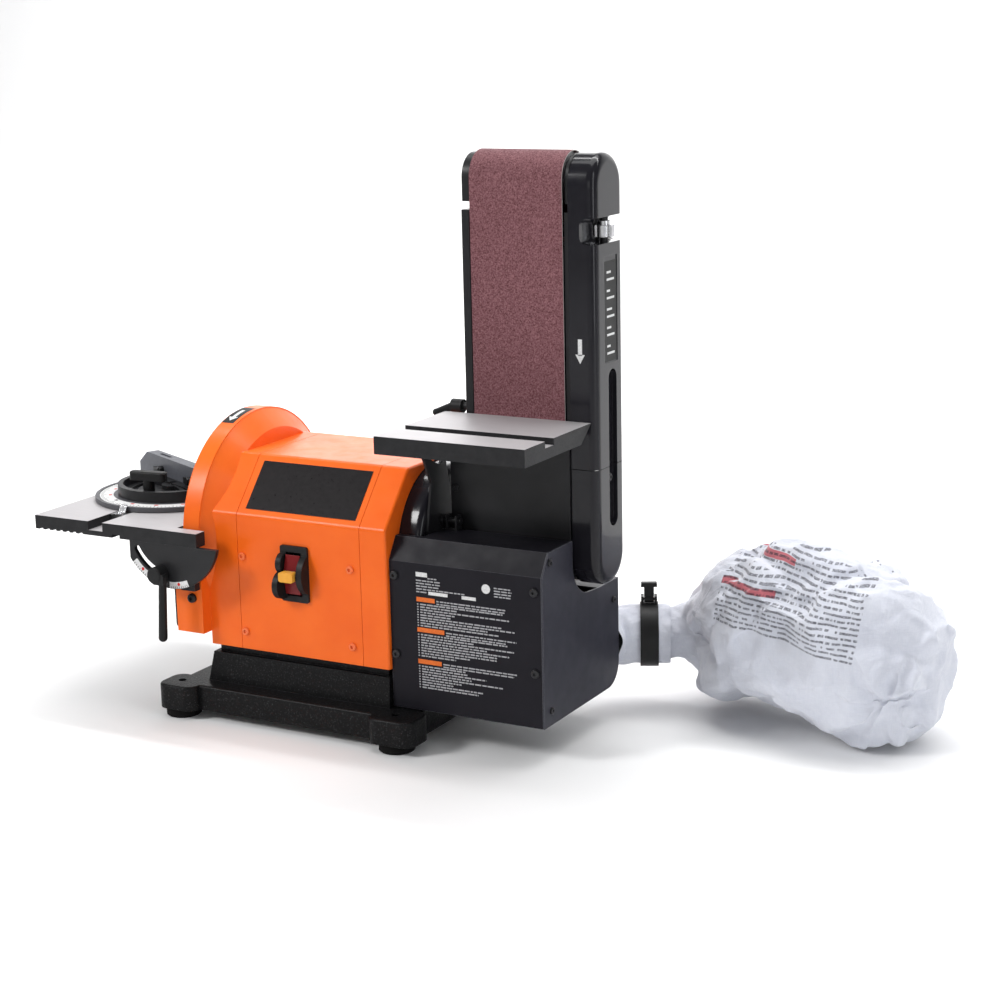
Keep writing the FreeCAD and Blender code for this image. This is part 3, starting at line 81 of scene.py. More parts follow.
# ---------------------------------------------------------------- material graph helpers
class Graph:
    """A material with its principled shader, and short calls to add nodes to it."""

    def __init__(self, name, roughness=0.5, metallic=0.0, **sockets):
        self.material = bpy.data.materials.new(name)
        self.material.use_nodes = True
        self.nodes = self.material.node_tree.nodes
        self.links = self.material.node_tree.links
        self.shader = self.nodes["Principled BSDF"]
        self.shader.inputs["Roughness"].default_value = roughness
        self.shader.inputs["Metallic"].default_value = metallic
        self.shader.inputs["Specular IOR Level"].default_value = SPECULAR_LEVEL
        for socket, value in sockets.items():
            self.shader.inputs[socket.replace("_", " ")].default_value = value
        texture_coordinates = self.nodes.new("ShaderNodeTexCoord")
        self.place = texture_coordinates.outputs["Object"]
        self.normal = texture_coordinates.outputs["Normal"]

    def feed(self, socket, value):
        if isinstance(value, bpy.types.NodeSocket):
            self.links.new(value, socket)
        elif isinstance(value, tuple) and socket.type == "RGBA" and len(value) == 3:
            socket.default_value = (*value, 1.0)
        else:
            socket.default_value = value

    def noise(self, scale, detail=3.0, roughness=0.55, stretch=None, distortion=0.0):
        node = self.nodes.new("ShaderNodeTexNoise")
        node.inputs["Scale"].default_value = scale
        node.inputs["Detail"].default_value = detail
        node.inputs["Roughness"].default_value = roughness
        node.inputs["Distortion"].default_value = distortion
        self.links.new(self.stretched(stretch), node.inputs["Vector"])
        return node.outputs["Fac"]

    def cells(self, scale, feature="F1"):
        node = self.nodes.new("ShaderNodeTexVoronoi")
        node.feature = feature
        node.inputs["Scale"].default_value = scale
        self.links.new(self.place, node.inputs["Vector"])
        return node.outputs["Distance"]

    def stretched(self, stretch):
        if stretch is None:
            return self.place
        node = self.nodes.new("ShaderNodeMapping")
        node.inputs["Scale"].default_value = stretch
        self.links.new(self.place, node.inputs["Vector"])
        return node.outputs["Vector"]

    def math(self, operation, a, b=0.0):
        node = self.nodes.new("ShaderNodeMath")
        node.operation = operation
        self.feed(node.inputs[0], a)
        self.feed(node.inputs[1], b)
        return node.outputs[0]

    def span(self, value, from_low, from_high, to_low=0.0, to_high=1.0):
        node = self.nodes.new("ShaderNodeMapRange")
        node.clamp = True
        ends = (from_low, from_high, to_low, to_high)
        self.feed(node.inputs["Value"], value)
        for socket, end in zip(("From Min", "From Max", "To Min", "To Max"), ends):
            node.inputs[socket].default_value = end
        return node.outputs["Result"]

    def blend(self, factor, a, b):
        node = self.nodes.new("ShaderNodeMix")
        node.data_type = "RGBA"
        self.feed(node.inputs["Factor"], factor)
        self.feed(node.inputs[6], a)
        self.feed(node.inputs[7], b)
        return node.outputs[2]

    def axis(self, vector, index):
        node = self.nodes.new("ShaderNodeSeparateXYZ")
        self.links.new(vector, node.inputs[0])
        return node.outputs[index]

    def colour(self, value):
        self.feed(self.shader.inputs["Base Color"], value)

    def rough(self, value):
        self.feed(self.shader.inputs["Roughness"], value)

    def metal(self, value):
        self.feed(self.shader.inputs["Metallic"], value)

    def relief(self, height, depth, strength=1.0, under=None):
        """Bump of the given depth in metres; several may be stacked through under."""
        node = self.nodes.new("ShaderNodeBump")
        node.inputs["Strength"].default_value = strength
        node.inputs["Distance"].default_value = depth
        self.feed(node.inputs["Height"], height)
        if under is not None:
            self.links.new(under, node.inputs["Normal"])
        self.links.new(node.outputs["Normal"], self.shader.inputs["Normal"])
        return node.outputs["Normal"]

    def soft_edges(self, radius):
        """Shading of a small edge radius, as a start for relief()."""
        node = self.nodes.new("ShaderNodeBevel")
        node.samples = 4
        node.inputs["Radius"].default_value = radius
        return node.outputs["Normal"]

    def painted_edge_highlight(self, edges):
        """Up to 0.8 at sharp edges, where the rounded shading normal leaves the face's own: the mask of a
        painted highlight along edges.
        """
        face = self.nodes.new("ShaderNodeNewGeometry").outputs["True Normal"]
        node = self.nodes.new("ShaderNodeVectorMath")
        node.operation = "DOT_PRODUCT"
        self.links.new(edges, node.inputs[0])
        self.links.new(face, node.inputs[1])
        return self.span(node.outputs["Value"], 0.985, 0.90, 0.0, 0.8)


# ---------------------------------------------------------------- materials
def orange_paint():
    g = Graph("orange_paint", Coat_Weight=0.1, Coat_Roughness=0.2)
    shade = g.span(g.noise(14.0, 4.0), 0.3, 0.7)
    g.colour(g.blend(shade, (0.86, 0.122, 0.007), (0.93, 0.155, 0.012)))
    g.rough(g.span(g.noise(60.0, 5.0), 0.3, 0.7, 0.31, 0.42))
    peel = g.relief(g.noise(1300.0, 2.0), 0.05 * MM, 0.5, g.soft_edges(0.6 * MM))
    g.relief(g.noise(35.0, 2.0), 0.25 * MM, 0.25, peel)
    return g.material


def black_paint():
    g = Graph("black_paint", Coat_Weight=0.08, Coat_Roughness=0.25)
    g.colour(g.blend(g.noise(25.0, 4.0), (0.010, 0.010, 0.011), (0.020, 0.020, 0.022)))
    g.rough(g.span(g.noise(80.0, 4.0), 0.3, 0.7, 0.32, 0.46))
    g.relief(g.noise(1500.0, 3.0), 0.05 * MM, 0.6, g.soft_edges(0.6 * MM))
    return g.material


def hammertone_paint():
    g = Graph("hammertone_paint", Coat_Weight=0.06, Coat_Roughness=0.25, Specular_IOR_Level=0.12)
    grain = g.noise(620.0, 6.0, 0.7)
    fleck = g.span(grain, 0.56, 0.72)
    g.colour(g.blend(fleck, (0.004, 0.004, 0.0045), (0.060, 0.062, 0.064)))
    g.rough(g.span(grain, 0.3, 0.7, 0.52, 0.34))
    dimples = g.relief(g.cells(420.0, "SMOOTH_F1"), 0.45 * MM, 0.5, g.soft_edges(1.2 * MM))
    g.relief(grain, 0.25 * MM, 0.6, dimples)
    return g.material


def box_paint(name, dark, light, specular):
    g = Graph(name, Specular_IOR_Level=specular)
    edges = g.soft_edges(0.9 * MM)
    paint = g.blend(g.noise(18.0, 4.0), dark, light)
    # Sharp edges blend to a light grey: a painted highlight along the folds of the box.
    g.colour(g.blend(g.painted_edge_highlight(edges), paint, (0.17, 0.17, 0.19)))
    g.rough(g.span(g.noise(45.0, 5.0), 0.3, 0.7, 0.4, 0.52))
    g.relief(g.noise(1600.0, 3.0), 0.03 * MM, 0.5, edges)
    return g.material


def gloss_plastic():
    g = Graph("gloss_plastic", Coat_Weight=0.2, Coat_Roughness=0.06)
    g.colour(g.blend(g.noise(30.0, 3.0), (0.008, 0.0075, 0.010), (0.014, 0.0135, 0.018)))
    g.rough(g.span(g.noise(120.0, 5.0), 0.3, 0.75, 0.13, 0.24))
    g.relief(g.noise(22.0, 2.0), 0.5 * MM, 0.18, g.soft_edges(0.8 * MM))
    return g.material


def matte_plastic():
    g = Graph("matte_plastic")
    g.colour(g.blend(g.noise(40.0, 4.0), (0.008, 0.008, 0.008), (0.017, 0.017, 0.018)))
    g.rough(g.span(g.noise(150.0, 4.0), 0.3, 0.7, 0.4, 0.54))
    g.relief(g.cells(1100.0), 0.07 * MM, 0.6, g.soft_edges(0.6 * MM))
    return g.material


def rubber():
    g = Graph("rubber", roughness=0.72, Specular_IOR_Level=0.08)
    g.colour(g.blend(g.noise(60.0, 5.0), (0.004, 0.004, 0.004), (0.011, 0.0105, 0.010)))
    g.relief(g.noise(1400.0, 4.0), 0.12 * MM, 0.6, g.soft_edges(0.8 * MM))
    return g.material


def drum_rubber():
    g = Graph("drum_rubber", roughness=0.8)
    g.colour(g.blend(g.noise(200.0, 4.0), (0.02, 0.018, 0.017), (0.06, 0.05, 0.045)))
    g.relief(g.noise(700.0, 3.0, stretch=(0.15, 1.0, 1.0)), 0.12 * MM)
    return g.material


def machined_table():
    """Ground top with fine tool lines; cast sides and underside painted black."""
    g = Graph("machined_table")
    top = g.span(g.axis(g.normal, 2), 0.9, 0.97)
    lines = g.noise(420.0, 4.0, 0.7, stretch=(0.06, 1.0, 1.0))
    cloud = g.noise(11.0, 4.0)
    bright = g.blend(lines, (0.44, 0.42, 0.432), (0.60, 0.585, 0.595))
    bright = g.blend(g.span(cloud, 0.35, 0.75, 0.0, 0.35), bright, (0.36, 0.35, 0.36))
    dark = g.blend(g.noise(90.0, 4.0), (0.010, 0.010, 0.011), (0.026, 0.026, 0.028))
    g.colour(g.blend(top, dark, bright))
    g.metal(g.math("MULTIPLY", top, 0.4))
    g.rough(g.span(lines, 0.25, 0.75, 0.44, 0.58))
    cast = g.relief(g.noise(900.0, 4.0), 0.12 * MM, 0.4, g.soft_edges(0.6 * MM))
    g.relief(lines, 0.03 * MM, 0.5, cast)
    return g.material


def ground_steel():
    g = Graph("ground_steel", metallic=1.0)
    lines = g.noise(500.0, 4.0, 0.65, stretch=(1.0, 1.0, 0.08))
    g.colour(g.blend(lines, (0.44,) * 3, (0.605,) * 3))
    g.rough(g.span(lines, 0.3, 0.7, 0.24, 0.39))
    g.relief(lines, 0.02 * MM, 0.5, g.soft_edges(0.5 * MM))
    return g.material


def screw_steel():
    g = Graph("screw_steel", roughness=0.34, metallic=0.6)
    g.colour(g.blend(g.noise(300.0, 3.0), (0.022, 0.022, 0.024), (0.05, 0.05, 0.052)))
    g.relief(g.noise(900.0, 2.0), 0.03 * MM, 0.4, g.soft_edges(0.5 * MM))
    return g.material


def painted_screw():
    """Housing screws in the housing's colour."""
    g = Graph("painted_screw", roughness=0.34, Coat_Weight=0.3)
    g.colour(g.blend(g.noise(90.0, 3.0), (0.80, 0.13, 0.03), (0.93, 0.21, 0.06)))
    g.relief(g.noise(1100.0, 2.0), 0.04 * MM, 0.4, g.soft_edges(0.5 * MM))
    return g.material


def bright_knob():
    g = Graph("bright_knob", metallic=1.0)
    g.colour(g.blend(g.noise(260.0, 3.0), (0.62, 0.62, 0.64), (0.85, 0.85, 0.87)))
    g.rough(g.span(g.noise(400.0, 3.0), 0.3, 0.7, 0.14, 0.3))
    g.relief(g.noise(800.0, 2.0, stretch=(1.0, 1.0, 0.1)), 0.05 * MM, 0.4, g.soft_edges(0.4 * MM))
    return g.material


def motor_iron():
    """Laminated stack: thin rings of sheet along the shaft."""
    g = Graph("motor_iron", roughness=0.5, metallic=0.7)
    sheets = g.noise(1800.0, 1.0, stretch=(1.0, 0.0, 0.0))
    g.colour(g.blend(sheets, (0.09, 0.075, 0.06), (0.26, 0.22, 0.19)))
    g.relief(sheets, 0.15 * MM)
    return g.material


def cast_alloy():
    g = Graph("cast_alloy", roughness=0.45, metallic=0.9)
    g.colour(g.blend(g.noise(120.0, 5.0), (0.36, 0.36, 0.37), (0.55, 0.55, 0.56)))
    g.relief(g.noise(650.0, 5.0), 0.15 * MM, 0.5, g.soft_edges(0.8 * MM))
    return g.material


def abrasive(name, dark, light, backing, across):
    """Grit on a cloth backing; the cut edges along one axis show the pale cloth."""
    g = Graph(name, Sheen_Weight=0.05, Sheen_Roughness=0.6)
    fine = g.noise(620.0, 3.0, 0.75)
    coarse = g.noise(210.0, 4.0, 0.7)
    worn = g.noise(7.0, 3.0)
    grit = g.blend(g.span(fine, 0.36, 0.66), dark, light)
    grit = g.blend(g.span(coarse, 0.55, 0.75, 0.0, 0.5), grit, light)
    grit = g.blend(g.span(worn, 0.45, 0.8, 0.0, 0.3), grit, dark)
    edge = g.math("ABSOLUTE", g.axis(g.normal, across))
    g.colour(g.blend(g.span(edge, 0.8, 0.95), grit, backing))
    g.rough(g.span(fine, 0.3, 0.7, 0.95, 0.62))
    coat = g.relief(g.cells(1300.0), 0.25 * MM, 0.7)
    g.relief(fine, 0.25 * MM, 0.8, coat)
    return g.material


def coloured_plastic(name, base, roughness):
    g = Graph(name, Coat_Weight=0.06)
    darker = tuple(channel * 0.75 for channel in base)
    g.colour(g.blend(g.noise(90.0, 4.0), darker, base))
    g.rough(g.span(g.noise(260.0, 4.0), 0.3, 0.7, roughness * 0.9, roughness * 1.2))
    g.relief(g.noise(300.0, 2.0), 0.02 * MM, 0.4, g.soft_edges(0.7 * MM))
    return g.material


def print_ink(name, base):
    g = Graph(name)
    fade = tuple(channel * 0.8 for channel in base)
    g.colour(g.blend(g.span(g.noise(700.0, 4.0), 0.35, 0.65), fade, base))
    g.relief(g.noise(2000.0, 2.0), 0.02 * MM, 0.4)
    return g.material


# ---------------------------------------------------------------- finishes on the CAD nodes
def finish_nodes():
    black = black_paint()
    plastic = matte_plastic()
    steel = ground_steel()
    screws = screw_steel()
    iron = motor_iron()
    alloy = cast_alloy()
    orange = orange_paint()
    gloss = gloss_plastic()
    box = box_paint("box_paint", (0.008, 0.0075, 0.0105), (0.014, 0.013, 0.018), 0.13)
    # The side panel takes a lighter, bluer copy of the box paint: painted light where the side faces the
    # right-hand lamp.
    box_side = box_paint("box_side_painted_light", (0.020, 0.020, 0.029), (0.034, 0.034, 0.046), 0.25)
    table = machined_table()
    rubber_black = rubber()
    grit_dark, grit_light = (0.095, 0.030, 0.036), (0.30, 0.135, 0.150)
    finishes = {
        hammertone_paint(): ["base"],
        rubber_black: ["rubber_feet", "cord_inlet"],
        orange: ["housing_left", "housing_center", "housing_right"],
        coloured_plastic("panel_black", (0.013, 0.011, 0.012), 0.3): ["name_panel"],
        painted_screw(): ["housing_screws"],
        screws: ["guard_bolts", "dust_box_screws", "arm_fasteners", "fence_screws"],
        black: ["arm_frame", "idler_yoke", "belt_table_bracket", "belt_table_trunnion",
                "disc_table_trunnions", "disc_table_brackets", "guard_plate", "lower_disc_cover",
                "arm_lock_bracket", "miter_head"],
        box: ["dust_box"],
        box_side: ["dust_box_side"],
        gloss: ["side_cover_upper", "side_cover_lower", "end_bell"],
        table: ["disc_table_top", "belt_table_top"],
        steel: ["rotor_shaft", "idler_axle", "tension_spring", "miter_bar", "platen",
                "motor_bearings"],
        bright_knob(): ["tracking_knob"],
        iron: ["motor_stator", "rotor_core"],
        alloy: ["drive_end_plate", "disc_plate", "idler_roller"],
        drum_rubber(): ["drive_drum"],
        abrasive("belt_grit", grit_dark, grit_light, (0.62, 0.58, 0.56), 0): ["sanding_belt"],
        abrasive("disc_grit", (0.05, 0.03, 0.025), (0.18, 0.12, 0.10), (0.5, 0.46, 0.42), 2):
            ["sanding_disc"],
        plastic: ["switch_body", "disc_lock_lever", "belt_table_knob", "miter_knob", "tension_lever",
                  "bag_clamp", "bag_clamp_lever", "dust_port", "start_capacitor", "cooling_fan"],
        coloured_plastic("rocker_red", (0.20, 0.012, 0.014), 0.3): ["switch_rocker"],
        coloured_plastic("key_yellow", (0.90, 0.42, 0.05), 0.35): ["safety_key"],
        coloured_plastic("scale_grey", (0.11, 0.11, 0.12), 0.4): ["miter_scale"],
        coloured_plastic("fence_grey", (0.125, 0.130, 0.150), 0.42): ["miter_fence"],
    }
    for material, names in finishes.items():
        for name in names:
            for slot in NODES[name].material_slots:
                slot.material = material


# ---------------------------------------------------------------- mesh helpers
def mesh_object(name, bm, material, smooth=False):
    mesh = bpy.data.meshes.new(name)
    bm.to_mesh(mesh)
    bm.free()
    piece = bpy.data.objects.new(name, mesh)
    bpy.context.scene.collection.objects.link(piece)
    for item in (material if isinstance(material, (list, tuple)) else [material]):
        mesh.materials.append(item)
    for polygon in mesh.polygons:
        polygon.use_smooth = smooth
    return piece


class Film:
    """Thin printed shapes on a flat surface, drawn in its own (u, v) directions."""

    def __init__(self, name, origin, u_axis, v_axis, inks):
        self.name = name
        self.origin = Vector(origin)
        self.u_axis = Vector(u_axis).normalized()
        self.v_axis = Vector(v_axis).normalized()
        self.out = self.u_axis.cross(self.v_axis)
        self.inks = inks
        self.bm = bmesh.new()

    def shape(self, points, ink=0, level=0):
        lift = self.out * (DECAL_LIFT + level * FILM_THICK)
        base = [self.origin + self.u_axis * u + self.v_axis * v + lift for u, v in points]
        top = [point + self.out * FILM_THICK for point in base]
        lower = [self.bm.verts.new(point) for point in base]
        upper = [self.bm.verts.new(point) for point in top]
        faces = [self.bm.faces.new(upper), self.bm.faces.new(lower[::-1])]
        for k in range(len(points)):
            n = (k + 1) % len(points)
            faces.append(self.bm.faces.new((lower[k], lower[n], upper[n], upper[k])))
        for face in faces:
            face.material_index = ink

    def bar(self, u, v, width, height, ink=0, level=0):
        self.shape([(u, v), (u + width, v), (u + width, v + height), (u, v + height)], ink, level)

    def arc(self, radius, width, start, end, ink=0, level=0, steps=24, u=0.0, v=0.0):
        """Ring segment about (u, v) between two angles in degrees."""
        angles = [math.radians(start + (end - start) * k / steps) for k in range(steps + 1)]
        for a, b in zip(angles, angles[1:]):
            inner, outer = radius - width / 2, radius + width / 2
            corners = [(inner, a), (outer, a), (outer, b), (inner, b)]
            self.shape([(u + r * math.cos(t), v + r * math.sin(t)) for r, t in corners], ink, level)

    def finish(self, body):
        bmesh.ops.recalc_face_normals(self.bm, faces=self.bm.faces)
        piece = mesh_object(self.name, self.bm, self.inks)
        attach(piece, body)


# ---------------------------------------------------------------- printed and small pieces
def text_rows(film, rng, u0, v_top, width, rows, pitch, height, ink, shortest):
    """Rows of dashes that stand for small print, with ragged right ends."""
    for row in range(rows):
        v = v_top - row * pitch
        row_end = u0 + width * rng.uniform(shortest, 1.0)
        u = u0
        while u < row_end:
            dash = min(rng.uniform(2.0, 7.5) * MM, row_end - u)
            film.bar(u, v, dash, height, ink)
            u += dash + rng.uniform(0.7, 1.3) * MM


def make_box_label(white, orange, grey):
    """Blank-worded label on the front of the cover box: bars in place of print."""
    rng = random.Random(4)
    lo, hi = low("dust_box"), high("dust_box")
    corner = (lo.x + 31 * MM, lo.y, lo.z + 23 * MM)
    film = Film("box_label", corner, (1, 0, 0), (0, 0, 1), [white, orange, grey])
    width = hi.x - lo.x - 55 * MM
    height = 122 * MM
    line = 1.3 * MM

    def heading_rows(u0, below, row_width, rows, shortest, pitch=2.9 * MM):
        text_rows(film, rng, u0, height - below, row_width, rows, pitch, line, 2, shortest)

    film.bar(0, height - 5.5 * MM, 13 * MM, 4.6 * MM, 0)
    heading_rows(13.5 * MM, 7.2 * MM, 11 * MM, 1, 0.9)
    heading_rows(0, 10.1 * MM, 28 * MM, 3, 0.9)
    heading_rows(0, 18.8 * MM, 56 * MM, 1, 0.95)
    heading_rows(0, 21.8 * MM, 12 * MM, 1, 0.95)
    for u0, bar_width in ((14 * MM, 22 * MM), (52 * MM, 16 * MM)):
        film.bar(u0, height - 23.2 * MM, bar_width, 3.4 * MM, 0)
    heading_rows(88.5 * MM, 8.4 * MM, 20 * MM, 4, 0.9, pitch=2.8 * MM)
    film.arc(2.4 * MM, 4.8 * MM, 0, 360, 0, u=79.5 * MM, v=height - 9.6 * MM)
    pitch = 2.75 * MM
    paragraph_tops = (height - 29.6 * MM, height - 61.0 * MM, height - 94.0 * MM)
    for top, head in zip(paragraph_tops, (21 * MM, 31 * MM, 27 * MM)):
        film.bar(0, top - 1.6 * MM, head, 4.6 * MM, 1)
        text_rows(film, rng, head + 2 * MM, top, width - head - 4 * MM, 2, pitch, line, 2, 0.8)
        body_top = top - 5.0 * MM
        text_rows(film, rng, 0.5 * MM, body_top, 1.6 * MM, 9, pitch, line, 2, 0.9)
        text_rows(film, rng, 4 * MM, body_top, width - 6 * MM, 9, pitch, 1.4 * MM, 2, 0.3)
    film.finish("machine")


def make_cover_prints(white, panel):
    """Down arrow on the tall cover's front, and the sunken plate on its side."""
    lo = low("side_cover_upper")
    hi = high("side_cover_upper")
    arrow_tip = (lo.x + 11.5 * MM, lo.y, 388 * MM)
    arrow = Film("belt_arrow", arrow_tip, (1, 0, 0), (0, 0, 1), [white])
    arrow.bar(-2.2 * MM, 8 * MM, 4.4 * MM, 16 * MM)
    arrow.shape([(-5 * MM, 9 * MM), (0, 0), (5 * MM, 9 * MM)])
    arrow.finish("belt_arm")
    plate_middle = (hi.x - 0.7 * MM, 6 * MM, 436 * MM)
    plate = Film("cover_plate", plate_middle, (0, 1, 0), (0, 0, 1), [panel, white])
    plate.bar(-13 * MM, -49 * MM, 26 * MM, 98 * MM, 0)
    for k in range(5):
        plate.bar(-8 * MM, (-42 + 18 * k) * MM, 16 * MM, 2.2 * MM, 1, 1)
        plate.bar(-8 * MM, (-35 + 18 * k) * MM, (7 + 2 * (k % 3)) * MM, 2.2 * MM, 1, 1)
    plate.finish("belt_arm")


def make_guard_arrow(white, dark):
    """Rotation arrow on the guard's rim, wrapped on its cylinder."""
    guard = high("housing_left")
    radius = guard.z - SHAFT.z
    x0 = low("housing_left").x + 14.5 * MM
    wide = 15 * MM
    head_steps = 6
    bm = bmesh.new()

    def patch(start, end, u0, u1, ink, level, steps):
        r = radius + DECAL_LIFT + level * FILM_THICK
        rows = []
        for k in range(steps + 1):
            angle = math.radians(start + (end - start) * k / steps)
            y, z = -r * math.sin(angle), SHAFT.z + r * math.cos(angle)
            rows.append([bm.verts.new((x0 + u, y, z)) for u in (u0, u1)])
        for a, b in zip(rows, rows[1:]):
            face = bm.faces.new((a[0], a[1], b[1], b[0]))
            face.material_index = ink

    patch(2, 22, 0, wide, 0, 0, 12)
    patch(7, 16, wide * 0.36, wide * 0.64, 1, 1, 8)
    for k in range(head_steps):
        half = wide * 0.36 * (1 - k / head_steps)
        patch(16 + k * 0.6, 16.6 + k * 0.6, wide / 2 - half, wide / 2 + half, 1, 1, 1)
    piece = mesh_object("guard_arrow", bm, [dark, white], smooth=True)
    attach(piece, "machine")


def make_tilt_scales(white, red, black):
    """Two printed angle strips on the disc table's front trunnion, each with a red dot."""
    face = low("disc_table_trunnions").y
    film = Film("tilt_scale", (DISC_TILT.x, face, DISC_TILT.z), (1, 0, 0), (0, 0, 1), [white, red, black])
    radius = 58.0 * MM
    for start, end in ((-142, -116), (-92, -68)):
        film.arc(radius, 7.0 * MM, start, end, 0)
        for k in range(9):
            angle = start + 2 + (end - start - 4) * k / 8
            film.arc(radius + 2.2 * MM, 2.0 * MM, angle - 0.3, angle + 0.3, 2, 1, steps=1)
        middle = math.radians((start + end) / 2)
        film.arc(0.9 * MM, 1.8 * MM, 0, 360, 1, 1, steps=12,
                 u=(radius - 1.0 * MM) * math.cos(middle), v=(radius - 1.0 * MM) * math.sin(middle))
    film.finish("disc_table")


def make_gauge_marks(white, black, red):
    """Degree ring on the protractor, drawn in the turned gauge's own directions."""
    pivot = Vector(JOINTS["gauge_turn"]["pos_m"])
    turn = gauge_angle()
    u_axis = (math.cos(turn), math.sin(turn), 0)
    v_axis = (-math.sin(turn), math.cos(turn), 0)
    top = high("miter_scale").z
    film = Film("gauge_marks", (pivot.x, pivot.y, top - 0.8 * MM), u_axis, v_axis, [white, black, red])
    rim = 80.0 * MM
    film.arc(73.5 * MM, 15.0 * MM, -178, -2, 0, steps=60)
    for k in range(59):
        angle = math.radians(-177 + 3 * k)
        tick = (7.0 if k % 5 == 0 else 3.5) * MM
        along = Vector((math.cos(angle), math.sin(angle)))
        side = Vector((-along.y, along.x)) * 0.28 * MM
        inner, outer = along * (rim - tick), along * rim
        corners = [inner + side, outer + side, outer - side, inner - side]
        film.shape([tuple(corner) for corner in corners], 1, 1)
    for k in range(-3, 4):
        angle = -90 + 24 * k
        film.arc(69.5 * MM, 3.2 * MM, angle - 1.8, angle + 1.8, 2 if k else 1, 1, steps=3)
    film.finish("gauge_head")


def gauge_angle():
    """How far the gauge is turned at rest, read from the long fence's end corners."""
    corners = [vertex.co for vertex in NODES["miter_fence"].data.vertices]
    left = min(corners, key=lambda p: p.x)
    right = max(corners, key=lambda p: p.x)
    front_left = min((p for p in corners if (p - left).length < 30 * MM), key=lambda p: p.y + 2 * p.x)
    front_right = min((p for p in corners if (p - right).length < 30 * MM), key=lambda p: p.y)
    return math.atan2(front_right.y - front_left.y, front_right.x - front_left.x)


def make_miter_pointer(steel):
    """Bent strip screwed to the bar's front end; its tip reads the degree ring."""
    bar_low, bar_high = low("miter_bar"), high("miter_bar")
    middle = (bar_low.x + bar_high.x) / 2
    rim = low("miter_scale").y
    foot_z = high("disc_table_top").z - 0.4 * MM
    tip_z = high("miter_scale").z + 0.4 * MM
    thick = 1.4 * MM
    line = [(bar_low.y - 1.5 * MM, foot_z, 4.5), (rim - 5.0 * MM, foot_z, 4.5),
            (rim - 2.5 * MM, tip_z, 4.5), (rim - 0.5 * MM, tip_z, 4.0), (rim + 3.0 * MM, tip_z, 0.6)]
    bm = bmesh.new()
    rows = []
    for y, z, half in line:
        corners = [(-half, 0), (half, 0), (half, thick), (-half, thick)]
        rows.append([bm.verts.new((middle + u * MM, y, z + up)) for u, up in corners])
    for a, b in zip(rows, rows[1:]):
        for k in range(4):
            n = (k + 1) % 4
            bm.faces.new((a[k], a[n], b[n], b[k]))
    bm.faces.new(rows[0][::-1])
    bm.faces.new(rows[-1])
    screw_at = Matrix.Translation((middle, bar_low.y + 3.5 * MM, foot_z + thick + 0.6 * MM))
    bmesh.ops.create_cone(bm, cap_ends=True, segments=24, radius1=2.6 * MM, radius2=2.2 * MM,
                          depth=1.2 * MM, matrix=screw_at)
    bmesh.ops.recalc_face_normals(bm, faces=bm.faces)
    piece = mesh_object("miter_pointer", bm, steel)
    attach(piece, "gauge_bar")


# ---------------------------------------------------------------- dust bag
def cotton(printed):
    """Woven cotton. The bag carries rows of generic dashes and three red blocks."""
    name = "cotton_print" if printed else "cotton"
    g = Graph(name, roughness=0.9, Sheen_Weight=0.35, Sheen_Roughness=0.5)
    threads = 1150.0
    warp = g.noise(threads, 1.0, stretch=(1.0, 0.12, 0.12))
    weft = g.noise(threads, 1.0, stretch=(0.12, 0.12, 1.0))
    weave = g.math("ADD", warp, weft)
    cloth = g.blend(g.span(g.noise(16.0, 4.0), 0.3, 0.7), (0.57, 0.59, 0.67), (0.69, 0.71, 0.78))
    cloth = g.blend(g.span(weave, 0.8, 1.2, 0.0, 0.25), cloth, (0.76, 0.77, 0.82))
    if printed:
        cloth = add_bag_print(g, cloth)
    g.colour(cloth)
    crumple = g.math("ABSOLUTE", g.math("SUBTRACT", g.noise(30.0, 3.0, 0.55, distortion=0.8), 0.5))
    creases = g.relief(g.math("SUBTRACT", 0.5, crumple), 7.0 * MM, 0.6)
    g.relief(weave, 0.18 * MM, 0.7, creases)
    return g.material


PRINT_TURN = math.radians(-6.0)     # how the print runs down the bag, seen from the front
PRINT_WIDTH = 160 * MM
PRINT_HEIGHT = 88 * MM
PRINT_ROWS = 17
BAG_VOXEL = 4.0 * MM
SHRINK_BEFORE = 0.035      # the bag starts this much smaller, because the cloth run swells it
NECK_AXIS = Vector((0.979, -0.205, 0.0))       # from the clamp into the bag
NECK_HELD = 34 * MM        # reach of the cloth that stays put at the neck and at the knot
KNOT_HELD = 16 * MM
CLOTH_FRAMES = 12
CLOTH_CAP = 10 * MM        # farthest that the cloth run may move a point
FLOOR_GAP = 0.3 * MM
CREASES = ((11.0, -10.0), (24.0, 4.6), (50.0, -1.5))     # noise scale, depth in mm


